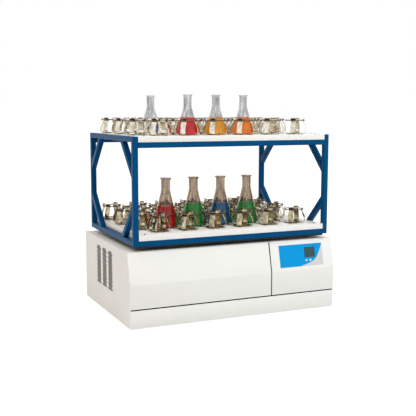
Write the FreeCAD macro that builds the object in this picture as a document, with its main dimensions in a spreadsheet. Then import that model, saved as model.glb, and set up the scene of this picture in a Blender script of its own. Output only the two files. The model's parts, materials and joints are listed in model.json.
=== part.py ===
"""Double-deck orbital flask shaker: cabinet, orbiting drive, tube frame, two trays of flask clamps.

The origin is the middle of the footprint on the bench, +Z up and the operator's side at -Y.
All lengths are in millimetres and all angles in degrees.
"""
import FreeCAD, Part
import math
import os
import re
import Sketcher

SIZES = {
    # carriage frame of square tube, its braces and the two folded trays
    "frame_width": 1000,
    "frame_depth": 674,
    "frame_height": 485,
    "frame_offset": 3.5,
    "tube": 25,
    "tube_wall": 2,
    "brace_reach": 182,
    "tray_sheet": 2,
    "stiffener_width": 40,
    "stiffener_spread": 300,
    "tray_screw_side": 35,
    "tray_screw_edge": 25,
    "screw_head_radius": 4.5,
    "screw_head_height": 3,
    # spring clamps: a dish, four bent fingers and a wire ring each
    "clamp_columns": 6,
    "clamp_rows": 6,
    "clamp_pitch": 142,
    "row_pitch": 98.6,
    "row_shift": 71,
    "first_clamp_x": -345,
    "first_clamp_y": -238.5,
    "dish_radius": 44,
    "dish_floor_radius": 38,
    "dish_rise": 4,
    "finger_width": 25,
    "finger_sheet": 1.2,
    "finger_bend": 6,
    "waist_flat": 2,
    "ring_wire_radius": 2.4,
    "ring_gap": 0.2,
    "ring_wire_sides": 6,
    "clamp_belly": 57,
    "belly_height": 30,
    "clamp_waist": 42.5,
    "waist_height": 67,
    "clamp_tip": 51,
    "clamp_height": 77,
    "large_belly": 61.5,
    "large_waist": 50.5,
    "large_waist_height": 68,
    "large_tip": 58.5,
    "large_height": 79,
    "clamp_screw_radius": 4,
    "clamp_screw_height": 1,
    # conical flasks of the two tiers
    "glass_wall": 2,
    "liquid_gap": 0.3,
    "flask_radius": 51.5,
    "flask_height": 178,
    "flask_neck": 19,
    "flask_rim": 22.5,
    "flask_heel": 5,
    "flask_cone_foot": 15,
    "flask_cone_top": 122,
    "flask_rim_height": 10,
    "big_flask_radius": 58,
    "big_flask_height": 228,
    "big_flask_neck": 22.5,
    "big_flask_rim": 28.5,
    "big_flask_cone_foot": 20,
    "big_flask_cone_top": 165,
    "high_level": 75,
    "low_level": 44,
    "big_high_level": 103,
    "big_low_level": 97,
    # carriage plate and the bearings under it
    "plate_thickness": 10,
    "plate_inset": 15,
    "bearing_height": 22,
    "main_bearing_radius": 30,
    "idler_bearing_radius": 20,
    # eccentric drive
    "orbit_radius": 13,
    "running_clearance": 0.05,
    "seat_gap": 0.05,
    "pin_gap": 0.5,
    "main_shaft_radius": 20,
    "main_pin_radius": 12,
    "crank_disc_radius": 60,
    "crank_disc_thickness": 15,
    "disc_gap": 4,
    "weight_radius": 130,
    "weight_thickness": 15,
    "weight_offset": 26,
    "weight_gap": 3,
    "housing_radius": 60,
    "housing_flange_radius": 85,
    "housing_flange": 12,
    "housing_relief_radius": 30,
    "bearing_radius": 36,
    "bearing_width": 16,
    "idler_x": 330,
    "idler_y": 200,
    "idler_journal_radius": 10,
    "idler_journal_length": 55,
    "idler_pin_radius": 8,
    "idler_arm_radius": 30,
    "idler_arm_thickness": 12,
    "idler_housing_radius": 26,
    "idler_flange_radius": 42,
    "idler_flange": 10,
    "arm_gap": 1.5,
    # motor, belt and pulleys
    "deck_height": 160,
    "deck_thickness": 10,
    "deck_width": 940,
    "deck_depth": 600,
    "leg_width": 40,
    "leg_x": 400,
    "leg_y": 240,
    "shaft_hole_gap": 5,
    "pulley_drop": 15,
    "pulley_width": 30,
    "pulley_rim": 2,
    "pulley_rim_height": 4,
    "driven_pulley_radius": 120,
    "driven_hub_radius": 35,
    "driven_web": 8,
    "driven_rim": 8,
    "motor_pulley_radius": 30,
    "motor_offset": 190,
    "motor_radius": 55,
    "motor_height": 125,
    "motor_flange_radius": 68,
    "motor_flange": 8,
    "motor_shaft_radius": 9,
    "motor_shaft_reach": 40,
    "belt_width": 22,
    "belt_thickness": 4,
    "belt_gap": 0.3,
    # sheet metal cabinet
    "cabinet_width": 1055,
    "cabinet_depth": 711,
    "cabinet_height": 344,
    "sheet_wall": 2,
    "base_sheet": 3,
    "running_gap": 13,
    "panel_hole_gap": 7,
    "slope_height": 143,
    "slope_angle": 13.39,
    "skirt_top": 86,
    "seam_gap": 1.5,
    "console_width": 346.5,
    "back_recess": 4,
    "foot_height": 5,
    "foot_radius": 22,
    "foot_x": 450,
    "foot_y": 290,
    "vent_strips": 3,
    "vent_strip_pitch": 91.5,
    "vent_first_y": 115.5,
    "vent_bottom": 124,
    "vent_rows": 18,
    "vent_row_pitch": 10.4,
    "vent_slots_across": 3,
    "vent_slot_width": 17,
    "vent_slot_height": 5.2,
    "vent_slot_pitch": 23,
    # control console on the slope
    "overlay_inset": 50,
    "overlay_drop": 23,
    "overlay_width": 241,
    "overlay_height": 107,
    "overlay_sheet": 0.6,
    "display_inset": 141,
    "display_drop": 15.5,
    "display_width": 57,
    "display_height": 51,
    "display_depth": 18,
    "window_gap": 0.3,
    "board_sheet": 1.6,
    "board_margin": 15,
    "standoff_radius": 3,
    "button_inset": 147,
    "button_pitch": 22,
    "button_drop": 80,
    "button_radius": 5,
    "button_stand": 1.6,
    "button_flange_radius": 7,
    "button_flange": 1.5,
    "button_tail": 4.5,
    "button_travel": 1.2,
    "switch_radius": 4,
    # fan, power entry and drive electronics
    "fan_from_side": 227.5,
    "fan_z": 225,
    "fan_size": 119,
    "fan_depth": 25,
    "fan_bore_radius": 55,
    "fan_hub_radius": 19,
    "fan_hub_depth": 16,
    "fan_axle_radius": 2,
    "fan_strut": 4,
    "fan_blade_tip_gap": 2,
    "fan_blades": 7,
    "fan_blade_sheet": 1.6,
    "fan_blade_pitch": 35,
    "fan_root_angle": 30,
    "guard_wire_radius": 0.9,
    "guard_spoke_radius": 0.7,
    "guard_rings": 4,
    "inlet_from_side": 107.5,
    "inlet_z": 60,
    "inlet_width": 24,
    "inlet_height": 16,
    "inlet_depth": 17,
    "inlet_wall": 3,
    "inlet_flange": 2.5,
    "inlet_flange_margin": 6,
    "inlet_pin_width": 2,
    "inlet_pin_height": 4,
    "inlet_pin_spread": 7,
    "rocker_rise": 24,
    "rocker_width": 20,
    "rocker_height": 12,
    "rocker_depth": 7,
    "rocker_gap": 0.5,
    "rocker_swing_room": 3,
    "rocker_pivot_radius": 1.5,
    "rocker_angle": 8,
    "drive_box_from_side": 307.5,
    "drive_box_y": -200,
    "drive_box_width": 180,
    "drive_box_depth": 110,
    "drive_box_height": 60,
    "drive_box_fin": 3,
    "drive_box_fins": 9,
    "drive_box_fin_height": 15,
    # how far a cutting tool passes the faces that it cuts
    "overrun": 1,
}

PLACES = {
    "half_width": "cabinet_width / 2",
    "front_y": "-cabinet_depth / 2",
    "back_y": "cabinet_depth / 2",
    "slope_top_y": "-cabinet_depth / 2 + slope_height * tan(slope_angle)",
    "slope_foot_z": "cabinet_height - slope_height",
    "panel_foot_z": "cabinet_height - sheet_wall",
    "console_x": "cabinet_width / 2 - console_width",
    "back_face_y": "cabinet_depth / 2 - back_recess",
    "fan_x": "cabinet_width / 2 - fan_from_side",
    "inlet_x": "inlet_from_side - cabinet_width / 2",
    "drive_box_x": "cabinet_width / 2 - drive_box_from_side",
    "inner_width": "cabinet_width - 2 * sheet_wall",
    "plate_z": "cabinet_height + running_gap",
    "frame_z": "cabinet_height + running_gap + plate_thickness",
    "frame_left": "-frame_width / 2",
    "frame_front": "frame_offset - frame_depth / 2",
    "frame_back": "frame_offset + frame_depth / 2",
    "tray_width": "frame_width - 2 * tube",
    "lower_tray_z": "cabinet_height + running_gap + plate_thickness + 2 * tube",
    "upper_tray_z": "cabinet_height + running_gap + plate_thickness + frame_height",
    "axis_y": "frame_offset - orbit_radius",
    "bearing_z": "cabinet_height + running_gap - bearing_height",
    "disc_top": "cabinet_height + running_gap - bearing_height - disc_gap",
    "disc_foot": "cabinet_height + running_gap - bearing_height - disc_gap - crank_disc_thickness",
    "arm_foot": "cabinet_height + running_gap - bearing_height - disc_gap - idler_arm_thickness",
    "pin_top": "cabinet_height + running_gap - pin_gap",
    "weight_foot": "cabinet_height + running_gap - bearing_height - disc_gap"
                   " - crank_disc_thickness - weight_thickness",
    "pulley_top": "deck_height - deck_thickness - pulley_drop",
    "pulley_foot": "deck_height - deck_thickness - pulley_drop - pulley_width",
    "pan_top": "foot_height + base_sheet",
}

TURNS = {
    "x": FreeCAD.Rotation(FreeCAD.Vector(0, 1, 0), 90),
    "y": FreeCAD.Rotation(FreeCAD.Vector(1, 0, 0), -90),
    "z": FreeCAD.Rotation(),
}
CORNERS = ((-1, -1), (1, -1), (-1, 1), (1, 1))

doc = FreeCAD.newDocument("FlaskShaker")
sheet = doc.addObject("Spreadsheet::Sheet", "Sizes")
for row, (alias, value) in enumerate(SIZES.items(), start=1):
    sheet.set("A%d" % row, alias)
    sheet.set("B%d" % row, str(value))
    sheet.setAlias("B%d" % row, alias)
doc.recompute()


def bound(text):
    """Formula text in which each size or place name is given its owner."""
    def owner(match):
        word = match.group(0)
        if word in SIZES:
            return "Sizes." + word
        if word in PLACES:
            return "Places." + word
        return word
    return re.sub(r"[a-z_]+", owner, text)


places = doc.addObject("App::FeaturePython", "Places")
for place, formula in PLACES.items():
    places.addProperty("App::PropertyFloat", place)
    places.setExpression(place, bound(formula))
doc.recompute()
nodes = []


def mm(name):
    """Number behind a size or place name."""
    if name in PLACES:
        return getattr(places, name)
    return float(sheet.get(name))


def count(name):
    return int(sheet.get(name))


def node(piece):
    """Name a finished sub-part and keep it for the export."""
    piece.Label = piece.Name
    nodes.append(piece)
    return piece


def put(piece, corner):
    for axis, text in zip("xyz", corner):
        piece.setExpression("Placement.Base." + axis, bound(text))


def box(name, size, corner):
    piece = doc.addObject("Part::Box", name)
    for side, text in zip(("Length", "Width", "Height"), size):
        piece.setExpression(side, bound(text))
    put(piece, corner)
    return piece


def rod(name, radius, length, base, axis="z"):
    """Round bar whose axis runs from the base along +x, +y or +z."""
    piece = doc.addObject("Part::Cylinder", name)
    piece.Placement = FreeCAD.Placement(FreeCAD.Vector(), TURNS[axis])
    piece.setExpression("Radius", bound(radius))
    piece.setExpression("Height", bound(length))
    put(piece, base)
    return piece


def fuse(name, pieces):
    piece = doc.addObject("Part::MultiFuse", name)
    piece.Shapes = pieces
    return piece


def cut(name, base, tools):
    piece = doc.addObject("Part::Cut", name)
    piece.Base = base
    piece.Tool = tools[0] if len(tools) == 1 else fuse(name + "_tools", tools)
    return piece


def group(name, pieces):
    """Several separate solids kept in one sub-part."""
    piece = doc.addObject("Part::Compound", name)
    piece.Links = pieces
    return piece


def feature(name, shape):
    piece = doc.addObject("Part::Feature", name)
    piece.Shape = shape
    return piece


def draw(sketch, points):
    """Closed outline whose corners are held at formulas from the sketch's origin."""
    first = sketch.GeometryCount
    total = len(points)
    for index in range(total):
        start = FreeCAD.Vector(index, index * index, 0)
        end = FreeCAD.Vector(index + 1, (index + 1) * (index + 1), 0)
        sketch.addGeometry(Part.LineSegment(start, end), False)
    for index in range(total):
        following = first + (index + 1) % total
        sketch.addConstraint(Sketcher.Constraint("Coincident", first + index, 2, following, 1))
    for index, corner in enumerate(points):
        for kind, text in zip(("DistanceX", "DistanceY"), corner):
            held = sketch.addConstraint(Sketcher.Constraint(kind, -1, 1, first + index, 1, 1.0))
            sketch.setExpression("Constraints[%d]" % held, bound(text))


def profile(name, plane, points):
    """Body with one sketched outline on one of its own origin planes."""
    body = doc.addObject("PartDesign::Body", name)
    sketch = body.newObject("Sketcher::SketchObject", name + "_outline")
    support = [item for item in body.Origin.OriginFeatures if item.Role == plane]
    sketch.AttachmentSupport = [(support[0], "")]
    sketch.MapMode = "FlatFace"
    draw(sketch, points)
    return body, sketch


def pad(name, points, length, corner, plane="YZ_Plane"):
    """Outline pushed out square to its plane."""
    body, sketch = profile(name, plane, points)
    push = body.newObject("PartDesign::Pad", name + "_pad")
    push.Profile = sketch
    push.setExpression("Length", bound(length))
    put(body, corner)
    return body


def turned(name, points, base):
    """Outline of radius and height pairs turned about the vertical."""
    body, sketch = profile(name, "XZ_Plane", points)
    turn = body.newObject("PartDesign::Revolution", name + "_turn")
    turn.Profile = sketch
    turn.ReferenceAxis = (sketch, ["V_Axis"])
    turn.Angle = 360
    put(body, base)
    return body


def revolved(points):
    """Solid of revolution about Z from radius and height numbers."""
    wire = Part.makePolygon([FreeCAD.Vector(r, 0, z) for r, z in points + points[:1]])
    return Part.Face(wire).revolve(FreeCAD.Vector(), FreeCAD.Vector(0, 0, 1), 360)


def slope_point(x, drop, stand):
    """Place on the console slope: x, distance down it and height off its face."""
    y = "slope_top_y - (%s) * sin(slope_angle) - (%s) * cos(slope_angle)" % (drop, stand)
    z = "cabinet_height - (%s) * cos(slope_angle) + (%s) * sin(slope_angle)" % (drop, stand)
    return x, y, z


def lean(piece, x, drop, stand):
    """Turn a piece so that its z leaves the console slope squarely."""
    axis = FreeCAD.Vector(1, 0, 0)
    piece.Placement = FreeCAD.Placement(FreeCAD.Vector(), FreeCAD.Rotation(axis, 1))
    piece.setExpression("Placement.Rotation.Angle", bound("90 - slope_angle"))
    put(piece, slope_point(x, drop, stand))
    return piece


# Carriage frame

def square_tube(name, along, length, corner, capped=False):
    """Square tube along x, y or z, open at its ends unless its top is capped."""
    axis = "xyz".index(along)
    outer = ["tube"] * 3
    outer[axis] = length
    bore = ["tube - 2 * tube_wall"] * 3
    bore[axis] = length + (" + overrun - tube_wall" if capped else " + 2 * overrun")
    start = [text + " + tube_wall" for text in corner]
    start[axis] = corner[axis] + " - overrun"
    return cut(name, box(name + "_outer", outer, corner), [box(name + "_bore", bore, start)])


def frame_sides():
    left_right = (("left", "frame_left"), ("right", "-frame_left - tube"))
    front_back = (("front", "frame_front"), ("back", "frame_back - tube"))
    lower_upper = (("lower", "frame_z"), ("upper", "upper_tray_z - tube"))
    for side, x in left_right:
        for end, y in front_back:
            name = "post_%s_%s" % (end, side)
            node(square_tube(name, "z", "frame_height", [x, y, "frame_z"], capped=True))
        for level, z in lower_upper:
            corner = [x, "frame_front + tube", z]
            node(square_tube("side_rail_%s_%s" % (level, side), "y", "frame_depth - 2 * tube", corner))
    for end, y in front_back:
        for level, z in lower_upper:
            height = z if level == "lower" else "upper_tray_z - 2 * tube"
            name = "cross_rail_%s_%s" % (level, end)
            node(square_tube(name, "x", "tray_width", ["frame_left + tube", y, height]))


def brace_outline(front, low):
    """Corners of one 45 degree brace between a post and a side rail."""
    near = "(brace_reach - tube * sqrt(2))"
    outline = []
    for across, up in (("brace_reach", "tube"), (near, "tube"), ("tube", near), ("tube", "brace_reach")):
        y = "frame_front + " + across if front else "frame_back - " + across
        z = "frame_z + " + up if low else "upper_tray_z - " + up
        outline.append((y, z))
    return outline


def side_braces():
    pieces = []
    for x in ("frame_left", "-frame_left - tube"):
        for front in (True, False):
            for low in (True, False):
                name = "brace_%d" % len(pieces)
                pieces.append(pad(name, brace_outline(front, low), "tube", (x, "0", "0")))
    node(group("side_braces", pieces))


# Trays

def tray(name, top):
    size = ("tray_width", "frame_depth", "tube")
    pan = box(name + "_pan", size, ("frame_left + tube", "frame_front", top + " - tube"))
    hollow_size = ("tray_width - 2 * tray_sheet", "frame_depth - 2 * tray_sheet", "tube")
    corner = ("frame_left + tube + tray_sheet", "frame_front + tray_sheet", top + " - tube - tray_sheet")
    node(cut(name, pan, [box(name + "_hollow", hollow_size, corner)]))


def tray_stiffeners():
    pieces = []
    for top in ("lower_tray_z", "upper_tray_z"):
        for side in ("-", "+"):
            name = "stiffener_%d" % len(pieces)
            y = "frame_offset %s stiffener_spread / 2 - stiffener_width / 2" % side
            x = "frame_left + tube + tray_sheet"
            size = ("tray_width - 2 * tray_sheet", "stiffener_width", "tube - tray_sheet")
            outer = box(name + "_outer", size, (x, y, top + " - tube"))
            bore_size = ("tray_width", "stiffener_width - 2 * tray_sheet", "tube - 3 * tray_sheet")
            corner = (x + " - overrun", y + " + tray_sheet", top + " - tube + tray_sheet")
            pieces.append(cut(name, outer, [box(name + "_bore", bore_size, corner)]))
    node(group("tray_stiffeners", pieces))


def clamp_places():
    """Staggered rows from the front, A onwards: every second row is shifted towards -X."""
    spots = []
    for row in range(count("clamp_rows")):
        letter = chr(ord("A") + row)
        shift = mm("row_shift") * (row % 2)
        y = mm("first_clamp_y") + row * mm("row_pitch")
        for column in range(count("clamp_columns")):
            x = mm("first_clamp_x") - shift + column * mm("clamp_pitch")
            spots.append((letter + str(column + 1), x, y))
    return spots


# The clamp that holds each flask, by its row and its number from the left
LOWER_FLASKS = ("B2", "B3", "B4", "B5")
UPPER_FLASKS = ("D2", "A2", "A3", "A4")


def spot(place):
    for clamp, x, y in clamp_places():
        if clamp == place:
            return x, y


def copies(shape, spots, height):
    return [shape.translated(FreeCAD.Vector(x, y, height)) for x, y in spots]


def dish_shape():
    """Shallow dish under the fingers."""
    sheet_thickness = mm("finger_sheet")
    rim = mm("dish_radius")
    floor = mm("dish_floor_radius")
    rise = mm("dish_rise")
    outline = [(0, 0), (floor, 0), (rim, rise), (rim - sheet_thickness, rise + sheet_thickness / 2)]
    outline += [(floor - sheet_thickness / 2, sheet_thickness), (0, sheet_thickness)]
    return revolved(outline)


def finger_shape(belly, waist, waist_height, tip, height):
    """One bent spring strip: foot, belly, waist and flared tip, along +X."""
    strip = mm("finger_sheet")
    bend = mm("finger_bend")
    flat = mm("waist_flat")
    foot = mm("dish_rise") + strip
    outer = [(mm("dish_radius") - strip, foot), (belly - bend, foot), (belly, foot + bend)]
    outer += [(belly, mm("belly_height")), (waist, waist_height - flat), (waist, waist_height + flat)]
    outer += [(tip, height)]
    inner = [(tip - strip, height), (waist - strip, waist_height + flat)]
    inner += [(waist - strip, waist_height - flat), (belly - strip, mm("belly_height"))]
    inner += [(belly - strip, foot + bend), (belly - bend, foot + strip)]
    inner += [(mm("dish_radius") - strip, foot + strip)]
    half = mm("finger_width") / 2
    points = [FreeCAD.Vector(r, -half, z) for r, z in outer + inner]
    face = Part.Face(Part.makePolygon(points + points[:1]))
    return face.extrude(FreeCAD.Vector(0, 2 * half, 0))


def fingers_shape(*sizes):
    """The four fingers of one clamp, on its diagonals."""
    finger = finger_shape(*[mm(size) for size in sizes])
    turned_fingers = []
    for quarter in range(4):
        copy = finger.copy()
        copy.rotate(FreeCAD.Vector(), FreeCAD.Vector(0, 0, 1), 45 + 90 * quarter)
        turned_fingers.append(copy)
    return Part.makeCompound(turned_fingers)


def ring_shape(waist, waist_height):
    """Spring wire ring outside the waist of the fingers, its wire drawn with flats."""
    wire = mm("ring_wire_radius")
    middle = math.hypot(mm(waist), mm("finger_width") / 2) + mm("ring_gap") + wire
    sides = count("ring_wire_sides")
    outline = []
    for side in range(sides):
        turn = 2 * math.pi * side / sides
        outline.append((middle + wire * math.cos(turn), mm(waist_height) + wire * math.sin(turn)))
    return revolved(outline)


SMALL_CLAMP = ("clamp_belly", "clamp_waist", "waist_height", "clamp_tip", "clamp_height")
LARGE_CLAMP = ("large_belly", "large_waist", "large_waist_height", "large_tip", "large_height")


def clamps(tier, top, large_spots):
    """Fingers of one tray; the dishes and the rings are handed back."""
    height = mm(top)
    small = []
    large = []
    for clamp, x, y in clamp_places():
        (large if clamp in large_spots else small).append((x, y))
    dishes = copies(dish_shape(), small + large, height)
    fingers = copies(fingers_shape(*SMALL_CLAMP), small, height)
    fingers += copies(fingers_shape(*LARGE_CLAMP), large, height)
    solids = [solid for clamp in fingers for solid in clamp.Solids]
    node(feature(tier + "_clamp_fingers", Part.makeCompound(solids)))
    rings = copies(ring_shape("clamp_waist", "waist_height"), small, height)
    rings += copies(ring_shape("large_waist", "large_waist_height"), large, height)
    return dishes, rings


def all_clamps():
    lower_dishes, lower_rings = clamps("lower", "lower_tray_z", LOWER_FLASKS)
    upper_dishes, upper_rings = clamps("upper", "upper_tray_z", ())
    node(feature("clamp_dishes", Part.makeCompound(lower_dishes + upper_dishes)))
    node(feature("clamp_rings", Part.makeCompound(lower_rings + upper_rings)))


def fasteners():
    """Pan heads at the tray corners and a flush screw in each clamp dish."""
    heads = []
    screw = Part.makeCylinder(mm("screw_head_radius"), mm("screw_head_height"))
    flush = Part.makeCylinder(mm("clamp_screw_radius"), mm("clamp_screw_height"))
    across = mm("tray_width") / 2 - mm("tray_screw_side")
    along = mm("frame_depth") / 2 - mm("tray_screw_edge")
    corners = [(side * across, mm("frame_offset") + end * along) for side, end in CORNERS]
    centres = [(x, y) for clamp, x, y in clamp_places()]
    for top in ("lower_tray_z", "upper_tray_z"):
        heads += copies(screw, corners, mm(top))
        heads += copies(flush, centres, mm(top) + mm("finger_sheet"))
    node(feature("tray_fasteners", Part.makeCompound(heads)))


# Flasks and their contents

FLASK = ("flask_radius", "flask_height", "flask_neck", "flask_rim", "flask_cone_foot", "flask_cone_top")
BIG_FLASK = tuple("big_" + name for name in FLASK)


def flask_shape(names):
    """Conical flask: heel, cone, neck and flared rim around a hollow."""
    radius, height, neck, rim, cone_foot, cone_top = [mm(name) for name in names]
    heel = mm("flask_heel")
    wall = mm("glass_wall")
    lip = height - mm("flask_rim_height")
    outer = [(0, 0), (radius - heel, 0), (radius, heel), (radius, cone_foot), (neck, cone_top)]
    outer += [(neck, lip), (rim, height - wall), (rim, height)]
    inner = [(rim - wall, height), (neck - wall, lip), (neck - wall, cone_top)]
    inner += [(radius - wall, cone_foot), (radius - wall, heel), (radius - heel - wall / 2, wall), (0, wall)]
    return revolved(outer + inner)


def liquid_shape(names, level_name):
    """Contents of a flask, just clear of the glass, up to their level."""
    radius, height, neck, rim, cone_foot, cone_top = [mm(name) for name in names]
    inset = mm("glass_wall") + mm("liquid_gap")
    heel = mm("flask_heel")
    level = mm(level_name)
    fall = (radius - neck) / (cone_top - cone_foot)
    top = radius - inset - fall * (level - cone_foot)
    outline = [(0, inset), (radius - heel - inset, inset), (radius - inset, heel + inset / 2)]
    outline += [(radius - inset, cone_foot), (top, level), (0, level)]
    return revolved(outline)


def flasks():
    """Four flasks stand in clamps on each tray."""
    stand = mm("dish_rise") + 2 * mm("finger_sheet")
    tiers = (
        ("lower", "lower_tray_z", BIG_FLASK, LOWER_FLASKS,
         ("big_low_level", "big_high_level", "big_low_level", "big_low_level")),
        ("upper", "upper_tray_z", FLASK, UPPER_FLASKS,
         ("low_level", "high_level", "high_level", "high_level")),
    )
    contents = []
    for tier, top, names, spots, levels in tiers:
        centres = [spot(place) for place in spots]
        height = mm(top) + stand
        glass = copies(flask_shape(names), centres, height)
        node(feature(tier + "_flasks", Part.makeCompound(glass)))
        for centre, level in zip(centres, levels):
            contents += copies(liquid_shape(names, level), [centre], height)
    node(feature("flask_contents", Part.makeCompound(contents)))


# Carriage plate and bearings

def carriage_plate():
    size = ("frame_width - 2 * plate_inset", "frame_depth - 2 * plate_inset", "plate_thickness")
    corner = ("frame_left + plate_inset", "frame_front + plate_inset", "plate_z")
    node(box("carriage_plate", size, corner))


def bearing_ring(name, outer, pin, x, y):
    base = (x, y, "bearing_z")
    low = (x, y, "bearing_z - overrun")
    ring = rod(name + "_outer", outer, "bearing_height", base)
    bore = rod(name + "_bore", pin + " + running_clearance", "bearing_height + 2 * overrun", low)
    return cut(name, ring, [bore])


def idler_axis(side, end):
    return "%d * idler_x" % side, "axis_y + %d * idler_y" % end


def carriage_bearings():
    pieces = [bearing_ring("main_bearing", "main_bearing_radius", "main_pin_radius", "0",
                           "axis_y + orbit_radius")]
    for index, (side, end) in enumerate(CORNERS):
        x, y = idler_axis(side, end)
        name = "idler_bearing_%d" % index
        pieces.append(bearing_ring(name, "idler_bearing_radius", "idler_pin_radius", x,
                                   y + " + orbit_radius"))
    node(group("carriage_bearings", pieces))


# Eccentric drive

def crankshaft():
    shaft = rod("main_shaft", "main_shaft_radius", "disc_foot - pulley_foot", ("0", "axis_y", "pulley_foot"))
    disc = rod("main_disc", "crank_disc_radius", "crank_disc_thickness", ("0", "axis_y", "disc_foot"))
    pin_base = ("0", "axis_y + orbit_radius", "disc_top")
    pin = rod("main_pin", "main_pin_radius", "pin_top - disc_top", pin_base)
    node(fuse("crankshaft", [shaft, disc, pin]))


def counterweight():
    """Half disc under the crank disc, opposite the pin."""
    disc = rod("weight_disc", "weight_radius", "weight_thickness", ("0", "axis_y", "weight_foot"))
    size = ("2 * weight_radius", "2 * weight_radius", "weight_thickness + 2 * overrun")
    corner = ("-weight_radius", "axis_y - weight_offset", "weight_foot - overrun")
    node(cut("counterweight", disc, [box("weight_trim", size, corner)]))


def driven_pulley():
    """Hub, web and rim with two edge flanges."""
    rim = "driven_pulley_radius"
    inner = "driven_pulley_radius - driven_rim"
    bore = "main_shaft_radius + seat_gap"
    edge = rim + " + pulley_rim_height"
    low_web = "(pulley_width - driven_web) / 2"
    high_web = "(pulley_width + driven_web) / 2"
    outline = [(bore, "0"), ("driven_hub_radius", "0"), ("driven_hub_radius", low_web), (inner, low_web)]
    outline += [(inner, "0"), (edge, "0"), (edge, "pulley_rim"), (rim, "pulley_rim")]
    outline += [(rim, "pulley_width - pulley_rim"), (edge, "pulley_width - pulley_rim")]
    outline += [(edge, "pulley_width"), (inner, "pulley_width"), (inner, high_web)]
    outline += [("driven_hub_radius", high_web), ("driven_hub_radius", "pulley_width"), (bore, "pulley_width")]
    node(turned("driven_pulley", outline, ("0", "axis_y", "pulley_foot")))


def spindle_housing():
    """Flanged housing on the deck with a bearing seat at each end."""
    height = "(weight_foot - weight_gap - deck_height)"
    seat = "bearing_radius + seat_gap"
    relief = "housing_relief_radius"
    outline = [(seat, "0"), ("housing_flange_radius", "0"), ("housing_flange_radius", "housing_flange")]
    outline += [("housing_radius", "housing_flange"), ("housing_radius", height), (seat, height)]
    outline += [(seat, height + " - bearing_width"), (relief, height + " - bearing_width")]
    outline += [(relief, "bearing_width"), (seat, "bearing_width")]
    node(turned("spindle_housing", outline, ("0", "axis_y", "deck_height")))


def spindle_bearings():
    pieces = []
    for name, z in (("low", "deck_height"), ("high", "weight_foot - weight_gap - bearing_width")):
        ring = rod(name + "_race", "bearing_radius", "bearing_width", ("0", "axis_y", z))
        bore = rod(name + "_race_bore", "main_shaft_radius + running_clearance",
                   "bearing_width + 2 * overrun", ("0", "axis_y", z + " - overrun"))
        pieces.append(cut(name + "_bearing", ring, [bore]))
    node(group("spindle_bearings", pieces))


def idlers():
    """Four equal cranks that keep the carriage square to the cabinet."""
    names = ("idler_front_left", "idler_front_right", "idler_back_left", "idler_back_right")
    for name, (side, end) in zip(names, CORNERS):
        x, y = idler_axis(side, end)
        journal_base = (x, y, "arm_foot - arm_gap - idler_journal_length")
        journal = rod(name + "_journal", "idler_journal_radius", "idler_journal_length + arm_gap",
                      journal_base)
        arm = rod(name + "_arm", "idler_arm_radius", "idler_arm_thickness", (x, y, "arm_foot"))
        pin = rod(name + "_pin", "idler_pin_radius", "pin_top - disc_top",
                  (x, y + " + orbit_radius", "disc_top"))
        node(fuse(name, [journal, arm, pin]))


def idler_housings():
    pieces = []
    height = "(arm_foot - arm_gap - deck_height)"
    bore = "idler_journal_radius + running_clearance"
    floor = height + " - idler_journal_length - overrun"
    for index, (side, end) in enumerate(CORNERS):
        x, y = idler_axis(side, end)
        outline = [("0", "0"), ("idler_flange_radius", "0"), ("idler_flange_radius", "idler_flange")]
        outline += [("idler_housing_radius", "idler_flange"), ("idler_housing_radius", height)]
        outline += [(bore, height), (bore, floor), ("0", floor)]
        pieces.append(turned("idler_housing_%d" % index, outline, (x, y, "deck_height")))
    node(group("idler_housings", pieces))


def drive_deck():
    """Plate on four legs that carries the housings and the motor."""
    size = ("deck_width", "deck_depth", "deck_thickness")
    corner = ("-deck_width / 2", "-deck_depth / 2", "deck_height - deck_thickness")
    pieces = [box("deck_plate", size, corner)]
    for index, (side, end) in enumerate(CORNERS):
        leg_size = ("leg_width", "leg_width", "deck_height - deck_thickness - pan_top")
        leg_corner = ("%d * leg_x - leg_width / 2" % side, "%d * leg_y - leg_width / 2" % end, "pan_top")
        pieces.append(box("deck_leg_%d" % index, leg_size, leg_corner))
    depth = "deck_thickness + 2 * overrun"
    low = "deck_height - deck_thickness - overrun"
    holes = [
        rod("deck_hole", "main_shaft_radius + shaft_hole_gap", depth, ("0", "axis_y", low)),
        rod("motor_hole", "motor_shaft_radius + shaft_hole_gap", depth, ("-motor_offset", "axis_y", low)),
    ]
    node(cut("drive_deck", fuse("deck_blank", pieces), holes))


def motor():
    base = ("-motor_offset", "axis_y", "deck_height")
    can = rod("motor_can", "motor_radius", "motor_height", base)
    flange = rod("motor_foot", "motor_flange_radius", "motor_flange", base)
    low = ("-motor_offset", "axis_y", "deck_height - overrun")
    bore = rod("motor_bore", "motor_shaft_radius + running_clearance",
               "motor_shaft_reach + 2 * overrun", low)
    node(cut("motor_body", fuse("motor_blank", [can, flange]), [bore]))


def motor_rotor():
    """Motor shaft with the small flanged pulley on its lower end."""
    x = "-motor_offset"
    shaft = rod("motor_shaft", "motor_shaft_radius", "deck_height + motor_shaft_reach - pulley_foot",
                (x, "axis_y", "pulley_foot"))
    drum = rod("motor_drum", "motor_pulley_radius", "pulley_width", (x, "axis_y", "pulley_foot"))
    edges = []
    for name, z in (("low", "pulley_foot"), ("high", "pulley_top - pulley_rim")):
        edges.append(rod("drum_edge_" + name, "motor_pulley_radius + pulley_rim_height", "pulley_rim",
                         (x, "axis_y", z)))
    node(fuse("motor_rotor", [shaft, drum] + edges))


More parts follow.
